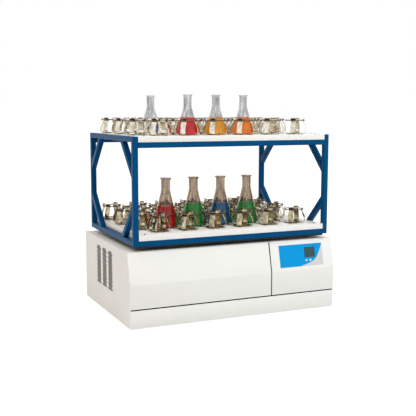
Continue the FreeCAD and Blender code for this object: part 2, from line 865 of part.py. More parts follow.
def belt_loop(large, small, distance):
    """Face inside the outline that wraps two wheels, the small one at -distance."""
    angle = math.asin((large - small) / distance)
    up = FreeCAD.Vector(-math.sin(angle), math.cos(angle), 0)
    down = FreeCAD.Vector(-math.sin(angle), -math.cos(angle), 0)
    far = FreeCAD.Vector(-distance, 0, 0)
    east = FreeCAD.Vector(large, 0, 0)
    west = far - FreeCAD.Vector(small, 0, 0)
    edges = [
        Part.Arc(up * large, east, down * large).toShape(),
        Part.LineSegment(down * large, far + down * small).toShape(),
        Part.Arc(far + down * small, west, far + up * small).toShape(),
        Part.LineSegment(far + up * small, up * large).toShape(),
    ]
    return Part.Face(Part.Wire(edges))


def drive_belt():
    gap = mm("belt_gap")
    thick = mm("belt_thickness")
    distance = mm("motor_offset")
    large = mm("driven_pulley_radius") + gap
    small = mm("motor_pulley_radius") + gap
    width = FreeCAD.Vector(0, 0, mm("belt_width"))
    outer = belt_loop(large + thick, small + thick, distance).extrude(width)
    band = outer.cut(belt_loop(large, small, distance).extrude(width))
    low = mm("pulley_foot") + (mm("pulley_width") - mm("belt_width")) / 2
    piece = feature("drive_belt", band)
    piece.Placement = FreeCAD.Placement(FreeCAD.Vector(0, mm("axis_y"), low), FreeCAD.Rotation())
    node(piece)


# Cabinet

def top_panel():
    size = ("cabinet_width", "back_y - slope_top_y", "sheet_wall")
    sheet_top = box("top_sheet", size, ("-half_width", "slope_top_y", "panel_foot_z"))
    depth = "sheet_wall + 2 * overrun"
    low = "panel_foot_z - overrun"
    reach = "orbit_radius + panel_hole_gap + "
    holes = [rod("main_port", reach + "main_bearing_radius", depth, ("0", "axis_y", low))]
    for index, (side, end) in enumerate(CORNERS):
        x, y = idler_axis(side, end)
        holes.append(rod("idler_port_%d" % index, reach + "idler_bearing_radius", depth, (x, y, low)))
    node(cut("top_panel", sheet_top, holes))


def side_outline():
    """Side of the cabinet as y and z numbers, with the slope at its upper front corner."""
    top = mm("panel_foot_z")
    slope_y = mm("slope_top_y") - mm("sheet_wall") * math.tan(math.radians(mm("slope_angle")))
    front, back = mm("front_y"), mm("back_y")
    foot = mm("foot_height")
    return [(front, foot), (back, foot), (back, top), (slope_y, top), (front, mm("slope_foot_z"))]


def vent_slots(x):
    """Staggered slots in three upright strips."""
    slots = []
    width, height = mm("vent_slot_width"), mm("vent_slot_height")
    reach = mm("sheet_wall") + 2 * mm("overrun")
    for strip in range(count("vent_strips")):
        centre = mm("vent_first_y") - strip * mm("vent_strip_pitch")
        for level in range(count("vent_rows")):
            z = mm("vent_bottom") + level * mm("vent_row_pitch")
            across = count("vent_slots_across") - level % 2
            for place in range(across):
                y = centre + (place - (across - 1) / 2) * mm("vent_slot_pitch") - width / 2
                corner = FreeCAD.Vector(x - mm("overrun"), y, z)
                slots.append(Part.makeBox(reach, width, height, corner))
    return Part.makeCompound(slots)


def side_panel(name, x):
    points = [FreeCAD.Vector(x, y, z) for y, z in side_outline()]
    face = Part.Face(Part.makePolygon(points + points[:1]))
    panel = face.extrude(FreeCAD.Vector(mm("sheet_wall"), 0, 0))
    node(feature(name, panel.cut(vent_slots(x))))


def front_sheet(name, x, length):
    """Bent front sheet: upright above the seam, leaning back above the bend."""
    top = "panel_foot_z"
    top_y = "slope_top_y - sheet_wall * tan(slope_angle)"
    bend_inset = "front_y + sheet_wall"
    foot = "skirt_top + seam_gap"
    outline = [("front_y", foot), (bend_inset, foot), (bend_inset, "slope_foot_z")]
    outline += [(top_y + " + sheet_wall", top), (top_y, top), ("front_y", "slope_foot_z")]
    return pad(name, outline, length, (x, "0", "0"))


def front_cover():
    length = "console_x - seam_gap / 2 + half_width - sheet_wall"
    node(front_sheet("front_cover", "-half_width + sheet_wall", length))


def button_x(index):
    return "console_x + overlay_inset + button_inset + %d * button_pitch" % index


BUTTON_DROP = "overlay_drop + button_drop"
DISPLAY_X = "console_x + overlay_inset + display_inset"
DISPLAY_FOOT = "overlay_drop + display_drop + display_height"


def console_holes(name, depth, stand):
    """Window and button holes through a sheet on the slope."""
    window = doc.addObject("Part::Box", name + "_window")
    window.setExpression("Length", bound("display_width + 2 * window_gap"))
    window.setExpression("Width", bound("display_height + 2 * window_gap"))
    window.setExpression("Height", bound(depth))
    tools = [lean(window, DISPLAY_X + " - window_gap", DISPLAY_FOOT + " + window_gap", stand)]
    for index in range(2):
        hole = doc.addObject("Part::Cylinder", "%s_hole_%d" % (name, index))
        hole.setExpression("Radius", bound("button_radius + window_gap"))
        hole.setExpression("Height", bound(depth))
        tools.append(lean(hole, button_x(index), BUTTON_DROP, stand))
    return tools


def console_housing():
    length = "console_width - seam_gap / 2 - sheet_wall"
    blank = front_sheet("console_blank", "console_x + seam_gap / 2", length)
    tools = console_holes("console", "sheet_wall + 4 * overrun", "-sheet_wall - 2 * overrun")
    node(cut("console_housing", blank, tools))


def control_overlay():
    blank = doc.addObject("Part::Box", "overlay_blank")
    blank.setExpression("Length", bound("overlay_width"))
    blank.setExpression("Width", bound("overlay_height"))
    blank.setExpression("Height", bound("overlay_sheet"))
    lean(blank, "console_x + overlay_inset", "overlay_drop + overlay_height", "0")
    node(cut("control_overlay", blank, console_holes("overlay", "overlay_sheet + 2 * overrun", "-overrun")))


def display_module():
    module = doc.addObject("Part::Box", "display_module")
    module.setExpression("Length", bound("display_width"))
    module.setExpression("Width", bound("display_height"))
    module.setExpression("Height", bound("display_depth"))
    node(lean(module, DISPLAY_X, DISPLAY_FOOT, "overlay_sheet - display_depth"))


def controller_board():
    """Board behind the console on standoffs, with a switch under each button."""
    face = "overlay_sheet - display_depth"
    board = doc.addObject("Part::Box", "board_sheet_blank")
    board.setExpression("Length", bound("overlay_width"))
    board.setExpression("Width", bound("overlay_height"))
    board.setExpression("Height", bound("board_sheet"))
    pieces = [lean(board, "console_x + overlay_inset", "overlay_drop + overlay_height",
                   face + " - board_sheet")]
    for index, (side, end) in enumerate(CORNERS):
        post = doc.addObject("Part::Cylinder", "standoff_%d" % index)
        post.setExpression("Radius", bound("standoff_radius"))
        post.setExpression("Height", bound("display_depth - overlay_sheet - sheet_wall * cos(slope_angle)"))
        x = "console_x + overlay_inset + overlay_width / 2 + %d * (overlay_width / 2 - board_margin)" % side
        drop = "overlay_drop + overlay_height / 2 + %d * (overlay_height / 2 - board_margin)" % end
        pieces.append(lean(post, x, drop, face))
    for index in range(2):
        switch = doc.addObject("Part::Cylinder", "switch_%d" % index)
        switch.setExpression("Radius", bound("switch_radius"))
        height = "display_depth - overlay_sheet - sheet_wall - button_flange - button_tail"
        switch.setExpression("Height", bound(height + " - button_travel - 2 * window_gap"))
        pieces.append(lean(switch, button_x(index), BUTTON_DROP, face))
    node(fuse("controller_board", pieces))


def buttons():
    """Two push buttons with a retaining flange behind the sheet."""
    for index, name in enumerate(("left_button", "right_button")):
        cap = doc.addObject("Part::Cylinder", name + "_cap")
        cap.setExpression("Radius", bound("button_radius"))
        tail = "sheet_wall + window_gap + button_flange + button_tail"
        cap.setExpression("Height", bound("overlay_sheet + button_stand + " + tail))
        flange = doc.addObject("Part::Cylinder", name + "_flange")
        flange.setExpression("Radius", bound("button_flange_radius"))
        flange.setExpression("Height", bound("button_flange"))
        lean(cap, button_x(index), BUTTON_DROP, "-(%s)" % tail)
        lean(flange, button_x(index), BUTTON_DROP, "-sheet_wall - window_gap - button_flange")
        node(fuse(name, [cap, flange]))


def front_skirt():
    size = ("inner_width", "sheet_wall", "skirt_top - foot_height")
    node(box("front_skirt", size, ("-half_width + sheet_wall", "front_y", "foot_height")))


def base_pan():
    size = ("inner_width", "back_face_y - sheet_wall - front_y - sheet_wall", "base_sheet")
    node(box("base_pan", size, ("-half_width + sheet_wall", "front_y + sheet_wall", "foot_height")))


def feet():
    pieces = []
    for index, (side, end) in enumerate(CORNERS):
        base = ("%d * foot_x" % side, "%d * foot_y" % end, "0")
        pieces.append(rod("foot_%d" % index, "foot_radius", "foot_height", base))
    node(group("rubber_feet", pieces))


def back_panel():
    """Rear sheet, set in from the sides' rear edges, open at the fan and the power entry."""
    size = ("inner_width", "sheet_wall", "panel_foot_z - foot_height")
    blank = box("back_sheet", size, ("-half_width + sheet_wall", "back_face_y - sheet_wall", "foot_height"))
    depth = "sheet_wall + 2 * overrun"
    low = "back_face_y - sheet_wall - overrun"
    port = rod("fan_port", "fan_bore_radius", depth, ("fan_x", low, "fan_z"), "y")
    entry_size = ("inlet_width + 2 * inlet_wall", depth, entry_height())
    entry = box("entry_port", entry_size, ("inlet_x - inlet_width / 2 - inlet_wall", low, entry_foot()))
    node(cut("back_panel", blank, [port, entry]))


def entry_foot():
    return "inlet_z - inlet_height / 2 - inlet_wall"


def entry_height():
    return "(inlet_height / 2 + rocker_rise + rocker_height / 2 + 2 * inlet_wall)"


# Power entry: socket and rocker switch in one moulding

def power_inlet():
    wall_y = "back_face_y - sheet_wall"
    body_depth = "(inlet_depth + inlet_wall)"
    width = "inlet_width + 2 * inlet_wall"
    body = box("inlet_body", (width, body_depth, entry_height()),
               ("inlet_x - inlet_width / 2 - inlet_wall", "back_face_y - " + body_depth, entry_foot()))
    flange_size = (width + " + 2 * inlet_flange_margin", "inlet_flange",
                   entry_height() + " + 2 * inlet_flange_margin")
    flange_x = "inlet_x - inlet_width / 2 - inlet_wall - inlet_flange_margin"
    flange = box("inlet_face", flange_size,
                 (flange_x, "back_face_y", entry_foot() + " - inlet_flange_margin"))
    cavity = box("inlet_cavity", ("inlet_width", "inlet_depth + inlet_flange + overrun", "inlet_height"),
                 ("inlet_x - inlet_width / 2", "back_face_y - inlet_depth", "inlet_z - inlet_height / 2"))
    room = ("rocker_width + 2 * rocker_gap", "rocker_depth + rocker_swing_room + inlet_flange + overrun",
            "rocker_height + 2 * rocker_gap")
    pocket = box("rocker_pocket", room,
                 ("inlet_x - rocker_width / 2 - rocker_gap", "back_face_y - rocker_depth - rocker_swing_room",
                  "inlet_z + rocker_rise - rocker_height / 2 - rocker_gap"))
    pivot = rod("rocker_seat", "rocker_pivot_radius + running_clearance",
                "rocker_width + 2 * inlet_wall", (pivot_x("inlet_wall"), pivot_y(), pivot_z()), "x")
    pins = []
    for index in range(3):
        size = ("inlet_pin_width", "inlet_depth - inlet_wall", "inlet_pin_height")
        x = "inlet_x - inlet_pin_width / 2 + %d * inlet_pin_spread" % (index - 1)
        pins.append(box("inlet_pin_%d" % index, size, (x, "back_face_y - inlet_depth",
                                                       "inlet_z - inlet_pin_height / 2")))
    shell = cut("inlet_shell", fuse("inlet_blank", [body, flange]), [cavity, pocket, pivot])
    node(fuse("power_inlet", [shell] + pins))


def pivot_x(margin):
    return "inlet_x - rocker_width / 2 - (%s)" % margin


def pivot_y():
    return "back_face_y - rocker_depth / 2"


def pivot_z():
    return "inlet_z + rocker_rise"


def power_rocker():
    """Rocker on a cross pin, built level and then tipped to its off side."""
    size = [mm("rocker_width"), mm("rocker_depth"), mm("rocker_height")]
    corner = FreeCAD.Vector(-size[0] / 2, -size[1] / 2, -size[2] / 2)
    key = Part.makeBox(size[0], size[1], size[2], corner)
    reach = size[0] + mm("inlet_wall")
    axis = FreeCAD.Vector(1, 0, 0)
    pin = Part.makeCylinder(mm("rocker_pivot_radius"), reach, FreeCAD.Vector(-reach / 2, 0, 0), axis)
    piece = feature("power_rocker", key.fuse(pin))
    y = mm("back_face_y") - mm("rocker_depth") / 2
    centre = FreeCAD.Vector(mm("inlet_x"), y, mm("inlet_z") + mm("rocker_rise"))
    piece.Placement = FreeCAD.Placement(centre, FreeCAD.Rotation(axis, mm("rocker_angle")))
    node(piece)


# Cooling fan

def fan_frame():
    """Square frame behind the rear sheet with a hub on four struts and a fixed axle."""
    y = "back_face_y - sheet_wall - fan_depth"
    x = "fan_x - fan_size / 2"
    z = "fan_z - fan_size / 2"
    frame = box("fan_square", ("fan_size", "fan_depth", "fan_size"), (x, y, z))
    bore = rod("fan_bore", "fan_bore_radius", "fan_depth + 2 * overrun",
               ("fan_x", y + " - overrun", "fan_z"), "y")
    struts = [box("fan_strut_flat", ("fan_size", "fan_strut", "fan_strut"), (x, y, "fan_z - fan_strut / 2")),
              box("fan_strut_tall", ("fan_strut", "fan_strut", "fan_size"), ("fan_x - fan_strut / 2", y, z))]
    hub = rod("fan_seat", "fan_hub_radius", "fan_strut", ("fan_x", y, "fan_z"), "y")
    axle = rod("fan_axle", "fan_axle_radius", "fan_strut + fan_hub_depth", ("fan_x", y, "fan_z"), "y")
    node(fuse("fan_frame", [cut("fan_ring", frame, [bore]), hub, axle] + struts))


def fan_rotor():
    """Hub and pitched blades, bored for the axle, along +Y."""
    hub_radius, depth = mm("fan_hub_radius"), mm("fan_hub_depth")
    along = FreeCAD.Vector(0, 1, 0)
    shape = Part.makeCylinder(hub_radius, depth, FreeCAD.Vector(), along)
    tip = mm("fan_bore_radius") - mm("fan_blade_tip_gap")
    thick = mm("fan_blade_sheet")
    root = hub_radius * math.cos(math.radians(mm("fan_root_angle")))
    for index in range(count("fan_blades")):
        corner = FreeCAD.Vector(-thick / 2, -depth / 2, root)
        blade = Part.makeBox(thick, depth, tip - root, corner)
        blade.rotate(FreeCAD.Vector(), FreeCAD.Vector(0, 0, 1), mm("fan_blade_pitch"))
        blade.translate(FreeCAD.Vector(0, depth / 2, 0))
        blade.rotate(FreeCAD.Vector(), along, index * 360 / count("fan_blades"))
        shape = shape.fuse(blade)
    bore_radius = mm("fan_axle_radius") + mm("running_clearance")
    bore_start = FreeCAD.Vector(0, -mm("overrun"), 0)
    shape = shape.cut(Part.makeCylinder(bore_radius, depth + 2 * mm("overrun"), bore_start, along))
    trim = Part.makeCylinder(tip, depth, FreeCAD.Vector(), along)
    piece = feature("fan_rotor", shape.common(trim))
    gap = mm("window_gap")
    y = mm("back_face_y") - mm("sheet_wall") - mm("fan_depth") + mm("fan_strut") + gap
    piece.Placement = FreeCAD.Placement(FreeCAD.Vector(mm("fan_x"), y, mm("fan_z")), FreeCAD.Rotation())
    node(piece)


def fan_guard():
    """Wire rings on crossed wires, lying on the rear sheet."""
    wire = mm("guard_wire_radius")
    along = FreeCAD.Vector(0, 1, 0)
    reach = mm("fan_bore_radius") + 2 * wire
    spoke = mm("guard_spoke_radius")
    shape = Part.makeCylinder(spoke, 2 * reach, FreeCAD.Vector(-reach, 0, 0), FreeCAD.Vector(1, 0, 0))
    shape = shape.fuse(Part.makeCylinder(spoke, 2 * reach, FreeCAD.Vector(0, 0, -reach)))
    for ring in range(1, count("guard_rings") + 1):
        radius = reach * ring / count("guard_rings")
        shape = shape.fuse(Part.makeTorus(radius, wire, FreeCAD.Vector(), along))
    piece = feature("fan_guard", shape)
    centre = FreeCAD.Vector(mm("fan_x"), mm("back_face_y") + wire, mm("fan_z"))
    piece.Placement = FreeCAD.Placement(centre, FreeCAD.Rotation())
    node(piece)


def drive_box():
    """Drive electronics on the base pan, with cooling fins on top."""
    size = ("drive_box_width", "drive_box_depth", "drive_box_height")
    pieces = [box("drive_box_case", size, ("drive_box_x", "drive_box_y", "pan_top"))]
    for index in range(count("drive_box_fins")):
        share = index / (count("drive_box_fins") - 1)
        x = "drive_box_x + %.4f * (drive_box_width - drive_box_fin)" % share
        fin_size = ("drive_box_fin", "drive_box_depth", "drive_box_fin_height")
        pieces.append(box("drive_box_fin_%d" % index, fin_size, (x, "drive_box_y",
                                                                 "pan_top + drive_box_height")))
    node(fuse("drive_electronics", pieces))


def build():
    frame_sides()
    side_braces()
    tray("lower_tray", "lower_tray_z")
    tray("upper_tray", "upper_tray_z")
    tray_stiffeners()
    all_clamps()
    fasteners()
    flasks()
    carriage_plate()
    carriage_bearings()
    crankshaft()
    counterweight()
    driven_pulley()
    spindle_housing()
    spindle_bearings()
    idlers()
    idler_housings()
    drive_deck()
    motor()
    motor_rotor()
    drive_belt()
    top_panel()
    side_panel("left_side_panel", -mm("half_width"))
    side_panel("right_side_panel", mm("half_width") - mm("sheet_wall"))
    front_cover()
    console_housing()
    control_overlay()
    display_module()
    controller_board()
    buttons()
    front_skirt()
    base_pan()
    feet()
    back_panel()
    power_inlet()
    power_rocker()
    fan_frame()
    fan_rotor()
    fan_guard()
    drive_box()


def export():
    """Write every sub-part once the whole document has proved sound."""
    doc.recompute()
    for item in doc.Objects:
        if "Invalid" in item.State or "Error" in item.State:
            raise RuntimeError("%s failed: %s" % (item.Name, item.State))
    for piece in nodes:
        shape = piece.Shape
        if shape.isNull() or not shape.isValid() or not shape.Solids:
            raise RuntimeError("%s has no valid solid" % piece.Label)
    os.makedirs("parts", exist_ok=True)
    for piece in nodes:
        piece.Shape.exportStep("parts/%s.step" % piece.Label)
        print("%-24s %3d solids %12.0f mm3" % (piece.Label, len(piece.Shape.Solids), piece.Shape.Volume))
    print("%d sub-parts" % len(nodes))


build()
export()
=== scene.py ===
import json
import math

import bmesh
import bpy
from mathutils import Matrix, Vector
from mathutils.geometry import tessellate_polygon

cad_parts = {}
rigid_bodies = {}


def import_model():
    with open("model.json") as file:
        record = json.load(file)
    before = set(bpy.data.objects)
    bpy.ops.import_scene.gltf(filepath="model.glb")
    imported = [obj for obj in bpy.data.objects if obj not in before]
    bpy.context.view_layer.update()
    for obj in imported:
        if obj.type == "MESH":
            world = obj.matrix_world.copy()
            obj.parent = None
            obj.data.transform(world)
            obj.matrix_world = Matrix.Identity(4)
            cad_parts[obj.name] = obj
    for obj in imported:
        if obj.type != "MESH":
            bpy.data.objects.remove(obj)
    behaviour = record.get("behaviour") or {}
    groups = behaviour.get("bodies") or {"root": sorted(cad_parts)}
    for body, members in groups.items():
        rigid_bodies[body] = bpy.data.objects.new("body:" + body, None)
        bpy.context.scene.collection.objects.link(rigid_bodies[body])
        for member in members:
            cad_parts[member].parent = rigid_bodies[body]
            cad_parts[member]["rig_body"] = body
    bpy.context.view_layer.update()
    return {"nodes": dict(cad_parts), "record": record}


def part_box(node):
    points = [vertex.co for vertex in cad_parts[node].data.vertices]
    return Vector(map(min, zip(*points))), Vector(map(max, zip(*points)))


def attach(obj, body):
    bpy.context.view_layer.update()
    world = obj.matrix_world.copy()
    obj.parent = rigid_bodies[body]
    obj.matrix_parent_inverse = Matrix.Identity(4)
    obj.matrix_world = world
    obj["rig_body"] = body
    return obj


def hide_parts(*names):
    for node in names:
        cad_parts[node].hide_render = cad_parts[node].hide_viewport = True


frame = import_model()

MM = 0.001


# Plain numbers of the shaker, in millimetres

# tubes, with their corner radius, and trays, with the screws on each
TUBE, TUBE_CORNER = 25, 3
TRAY_TOPS = {"lower": 417, "upper": 852}
TRAY_SCREWS = ((-440, -308.5), (-440, 315.5), (440, -308.5), (440, 315.5))

# clamps, in staggered rows from the front left one
ROWS, COLUMNS = 6, 6
CLAMP_PITCH, ROW_PITCH, ROW_SHIFT = 142, 98.6, 71
FIRST_CLAMP = (-345, -238.5)
# fingers: how many, their width and sheet, and how far their middle stands out
FINGERS, FINGER_WIDTH, FINGER_SHEET, CROWN = 4, 25, 1.2, 1.6
DISH_RADIUS, DISH_RISE = 44, 4
WIRE_RADIUS, RING_GAP = 2.4, 0.2
# belly radius, waist radius, waist height, tip radius, height
SMALL_CLAMP = (57, 42.5, 67, 51, 77)
LARGE_CLAMP = (61.5, 50.5, 68, 58.5, 79)
# most that a clamp is turned either way, in degrees
CLAMP_TURN = 3.0

# flasks: body radius, height, neck radius, rim radius, foot and top of the cone
SMALL_FLASK = (51.5, 178, 19, 22.5, 15, 122)
LARGE_FLASK = (58, 228, 22.5, 28.5, 20, 165)
# height over the tray, wall, and how far the contents reach into it
FLASK_STAND, GLASS_WALL, LIQUID_LAP = 6.4, 2, 0.3
# row, column, level and dye of each flask, from the front left clamp
LOWER_FLASKS = ((1, 1, 97, "red"), (1, 2, 103, "green"), (1, 3, 100, "blue"), (1, 4, 97, "green"))
UPPER_FLASKS = ((3, 1, 44, "azure"),
                (0, 1, 75, "scarlet"), (0, 2, 75, "yellow"), (0, 3, 75, "orange"))

# sheets: thickness, radius of the front's bend, front seams, and gap between sheets
SHEET, SHEET_BEND, SEAM, CLEAR = 2, 14, 5.6, 0.4
# cabinet: upright front up to the slope's foot, then the slope up to the top sheet
FRONT_Y, SLOPE_TOP_Y, CABINET_TOP = -355.5, -321.46, 344
SLOPE_FOOT, SKIRT_TOP = 201, 86
LEAN = (SLOPE_TOP_Y - FRONT_Y) / (CABINET_TOP - SLOPE_FOOT)
HALF_WIDTH, CONSOLE_X = 527.5, 181
BACK_SCREWS_X, BACK_SCREW_EDGE = (-505, -252, 0, 252, 505), 12

# vents: middle of each strip along y, then its rows, of three slots and two in turn
VENT_STRIPS = (115.5, 24.0, -67.5)
VENT_ROWS, VENT_FOOT, VENT_ROW_PITCH, VENT_PITCH = 18, 126.6, 10.4, 24.2
SLOT_WIDTH, SLOT_HEIGHT, SLOT_CORNER, SLOT_EASE = 22.2, 8.5, 1.6, 0.3
# filters, black sheets whose pads are painted shade in the slots: half width, foot, top, depth, gap
# behind the sheet, and gap round each slot's pad
SHADE_FILTER_REACH, SHADE_FILTER_FOOT, SHADE_FILTER_TOP, SHADE_FILTER_DEPTH, SHADE_FILTER_GAP, PAD_GAP = 39, 116, 316, 4, 0.8, 0.2

# black foam strip behind the lying seam, painted shade in its gap: thickness, foot and top, and how
# far its ends stay back
SHADE_FOAM, LYING_SHADE_FOAM, SHADE_FOAM_END = 3, (78, 96), 6
# and behind the upright seam: foot, height up the slope, half width
SHADE_FOAM_FOOT, SHADE_FOAM_RISE, SHADE_FOAM_REACH = 90, 138, 9

# console, in x and distance down the slope: film, line between its colours, window and keys
FILM_LEFT, FILM_RIGHT, FILM_TOP, FILM_FOOT = 231, 472, 23, 130
COLOUR_LINE = ((FILM_RIGHT, FILM_TOP), (462, 47), (449, 72), (433, 94), (412, 109), (385, 119),
               (340, FILM_FOOT))
BLUE_FILM, GREY_FILM = 0.6, 0.55
WINDOW_LEFT, WINDOW_RIGHT, WINDOW_TOP, WINDOW_FOOT, WINDOW_GAP = 370, 429, 38.5, 89.5, 0.3
KEYS, KEY_HOLE, KEY_GAP = ((378, 103), (400, 103)), 5.3, 0.1

# studio: turn of the whole set about z in radians, camera's place, and half the floor's width
STUDIO_TURN = 0.4252
CAMERA_PLACE = (-1576.4, -3499.7, 962.2)
FLOOR_REACH = 60000


# Small helpers

def added(tree, kind, name="", links=None, **settings):
    """Add one node; settings go to its own fields or unlinked inputs, links to its inputs."""
    node = tree.nodes.new(kind)
    node.name = name or node.name
    for key, value in settings.items():
        if hasattr(node, key):
            setattr(node, key, value)
        else:
            node.inputs[key.replace("_", " ")].default_value = value
    for key, output in (links or {}).items():
        tree.links.new(output, node.inputs[key])
    return node


def colour(code):
    """Linear colour of an sRGB hex value."""
    parts = [int(code[place:place + 2], 16) / 255 for place in (1, 3, 5)]
    return tuple(p / 12.92 if p <= 0.04045 else ((p + 0.055) / 1.055) ** 2.4
                 for p in parts) + (1.0,)


def loose(name, data):
    """New object in the scene."""
    piece = bpy.data.objects.new(name, data)
    bpy.context.scene.collection.objects.link(piece)
    return piece


def painted(mesh, finish):
    """The mesh in one finish."""
    mesh.materials.clear()
    mesh.materials.append(finish)
    return mesh


def settled(name, mesh, body, hides=()):
    """A finished piece that rides on its body, in the place of the frame's parts that it hides."""
    piece = loose(name, mesh)
    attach(piece, body)
    if hides:
        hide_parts(*hides)


def dressed(name, mesh, finish, body, hides=()):
    """A settled piece in one finish."""
    settled(name, painted(mesh, finish), body, hides)


def cad_corners(name):
    """Low and high corner of one of the frame's parts, in millimetres."""
    return [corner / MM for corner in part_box(name)]


def bevelled(piece, width, segments, angle):
    """Round the edges sharper than an angle in degrees."""
    bevel = piece.modifiers.new("edges", "BEVEL")
    bevel.width = width * MM
    bevel.segments = segments
    bevel.limit_method = "ANGLE"
    bevel.angle_limit = math.radians(angle)


def baked(piece):
    """Plain mesh of an object with its modifiers worked in; the object itself goes."""
    bpy.context.view_layer.update()
    graph = bpy.context.evaluated_depsgraph_get()
    mesh = bpy.data.meshes.new_from_object(piece.evaluated_get(graph))
    bpy.data.objects.remove(piece)
    return mesh


def soft_shaded(mesh, angle=40):
    """Smooth shading up to an angle in degrees."""
    mesh.shade_smooth()
    mesh.set_sharp_from_angle(angle=math.radians(angle))
    return mesh


def mesh_of(name, vertices, faces, smooth_angle=40):
    """Mesh from millimetre vertices, faces turned outwards."""
    mesh = bpy.data.meshes.new(name)
    mesh.from_pydata([Vector(v) * MM for v in vertices], [], faces)
    work = bmesh.new()
    work.from_mesh(mesh)
    bmesh.ops.remove_doubles(work, verts=work.verts, dist=1e-6)
    bmesh.ops.recalc_face_normals(work, faces=work.faces)
    work.to_mesh(mesh)
    work.free()
    return soft_shaded(mesh, smooth_angle)


def joined(name, meshes):
    """One mesh out of several, which keep their finishes."""
    work = bmesh.new()
    whole = bpy.data.meshes.new(name)
    for mesh in meshes:
        start = len(work.faces)
        work.from_mesh(mesh)
        work.faces.ensure_lookup_table()
        for material in mesh.materials:
            if material.name not in whole.materials:
                whole.materials.append(material)
        for face in work.faces[start:]:
            if mesh.materials:
                face.material_index = whole.materials.find(mesh.materials[face.material_index].name)
    work.to_mesh(whole)
    work.free()
    return whole


def moved(mesh, x, y, z):
    """Copy of a mesh, moved by millimetres."""
    copy = mesh.copy()
    copy.transform(Matrix.Translation(Vector((x, y, z)) * MM))
    return copy


# Lines in two dimensions

def curve_through(points, steps):
    """Catmull-Rom line through pairs of numbers."""
    ends = [points[0]] + list(points) + [points[-1]]
    line = []
    for before, start, end, after in zip(ends, ends[1:], ends[2:], ends[3:]):
        for step in range(steps):
            t = step / steps
            line.append(tuple(
                0.5 * (2 * b + (c - a) * t + (2 * a - 5 * b + 4 * c - d) * t * t
                       + (3 * b - a - 3 * c + d) * t ** 3)
                for a, b, c, d in zip(before, start, end, after)))
    return line + [tuple(points[-1])]


def rounded(before, corner, after, radius, steps=5):
    """Line of two legs whose corner is rounded."""
    corner = Vector(corner)
    back, on = (Vector(before) - corner).normalized(), (Vector(after) - corner).normalized()
    reach = radius / math.tan(back.angle(on) / 2)
    start, end = corner + back * reach, corner + on * reach
    line = [tuple(before)]
    for step in range(steps + 1):
        t = step / steps
        line.append(tuple(start * (1 - t) ** 2 + corner * 2 * t * (1 - t) + end * t * t))
    return line + [tuple(after)]


def beside(line, distance):
    """Line beside an open line, at a distance to its left."""
    out = []
    for place, point in enumerate(line):
        before = Vector(line[max(place - 1, 0)])
        after = Vector(line[min(place + 1, len(line) - 1)])
        along = (after - before).normalized()
        out.append((point[0] - along.y * distance, point[1] + along.x * distance))
    return out


def inset(loop, distance):
    """Closed line moved to its left."""
    line = []
    for before, here, after in zip(loop[-1:] + loop[:-1], loop, loop[1:] + loop[:1]):
        a = (Vector(here) - Vector(before)).normalized()
        b = (Vector(after) - Vector(here)).normalized()
        left = Vector((-a.y - b.y, a.x + b.x)).normalized()
        reach = distance / left.dot(Vector((-a.y, a.x)))
        line.append((here[0] + left.x * reach, here[1] + left.y * reach))
    return line


def rectangle(left, right, low, high):
    """Corners of an upright rectangle."""
    return [(left, low), (right, low), (right, high), (left, high)]


def circle(x, y, radius, steps=24):
    """Closed line of a circle about a point."""
    turns = [2 * math.pi * step / steps for step in range(steps)]
    return [(x + radius * math.cos(turn), y + radius * math.sin(turn)) for turn in turns]


def slot_line(y, z, width, height, corner):
    """Closed line of a slot with round corners, running right."""
    line = []
    for turn in (90, 0, -90, -180):
        middle = (y + math.copysign(width / 2 - corner, math.cos(math.radians(turn - 45))),
                  z + math.copysign(height / 2 - corner, math.sin(math.radians(turn - 45))))
        for step in (0, 45, 90):
            way = math.radians(turn - step)
            line.append((middle[0] + corner * math.cos(way), middle[1] + corner * math.sin(way)))
    return line


# Solids from lines

def lathed(name, outline, segments, smooth_angle=40):
    """Closed outline of radius and height pairs turned about z."""
    vertices, faces = [], []
    size = len(outline)
    for step in range(segments):
        turn = 2 * math.pi * step / segments
        vertices += [(r * math.cos(turn), r * math.sin(turn), z) for r, z in outline]
    for step in range(segments):
        here, there = step * size, (step + 1) % segments * size
        for low in range(size):
            high = (low + 1) % size
            if outline[low][0] < 1e-6 and outline[high][0] < 1e-6:
                continue
            faces.append((here + low, there + low, there + high, here + high))
    return mesh_of(name, vertices, faces, smooth_angle)


def extruded(name, outline, x0, x1):
    """Closed outline of y and z pairs drawn out along x."""
    size = len(outline)
    vertices = [(x, y, z) for x in (x0, x1) for y, z in outline]
    faces = [(low, (low + 1) % size, size + (low + 1) % size, size + low) for low in range(size)]
    fill = tessellate_polygon([[Vector((y, z, 0)) for y, z in outline]])
    for start in (0, size):
        faces += [tuple(start + corner for corner in face) for face in fill]
    return mesh_of(name, vertices, faces, 30)


def plate(name, loops, sheet, place, ease=0.0):
    """Flat plate from an outline and holes in 2D, laid by place(across, along, height).

    An ease cuts back the edges of the plate's upper face; the outline then runs left round the
    plate and the holes run right.
    """
    levels = [(0, 0), (sheet - ease, 0), (sheet, ease)] if ease else [(0, 0), (sheet, 0)]
    size = sum(len(loop) for loop in loops)
    vertices, faces = [], []
    for level, (height, back) in enumerate(levels):
        shaped = [inset(loop, back) if back else loop for loop in loops]
        vertices += [place(x, y, height) for loop in shaped for x, y in loop]
        if level in (0, len(levels) - 1):
            fill = tessellate_polygon([[Vector((x, y, 0)) for x, y in loop] for loop in shaped])
            faces += [tuple(level * size + corner for corner in face) for face in fill]
    for level in range(len(levels) - 1):
        start = level * size
        for loop in loops:
            for low in range(len(loop)):
                a, b = start + low, start + (low + 1) % len(loop)
                faces.append((a, b, size + b, size + a))
            start += len(loop)
    return mesh_of(name, vertices, faces, 30)


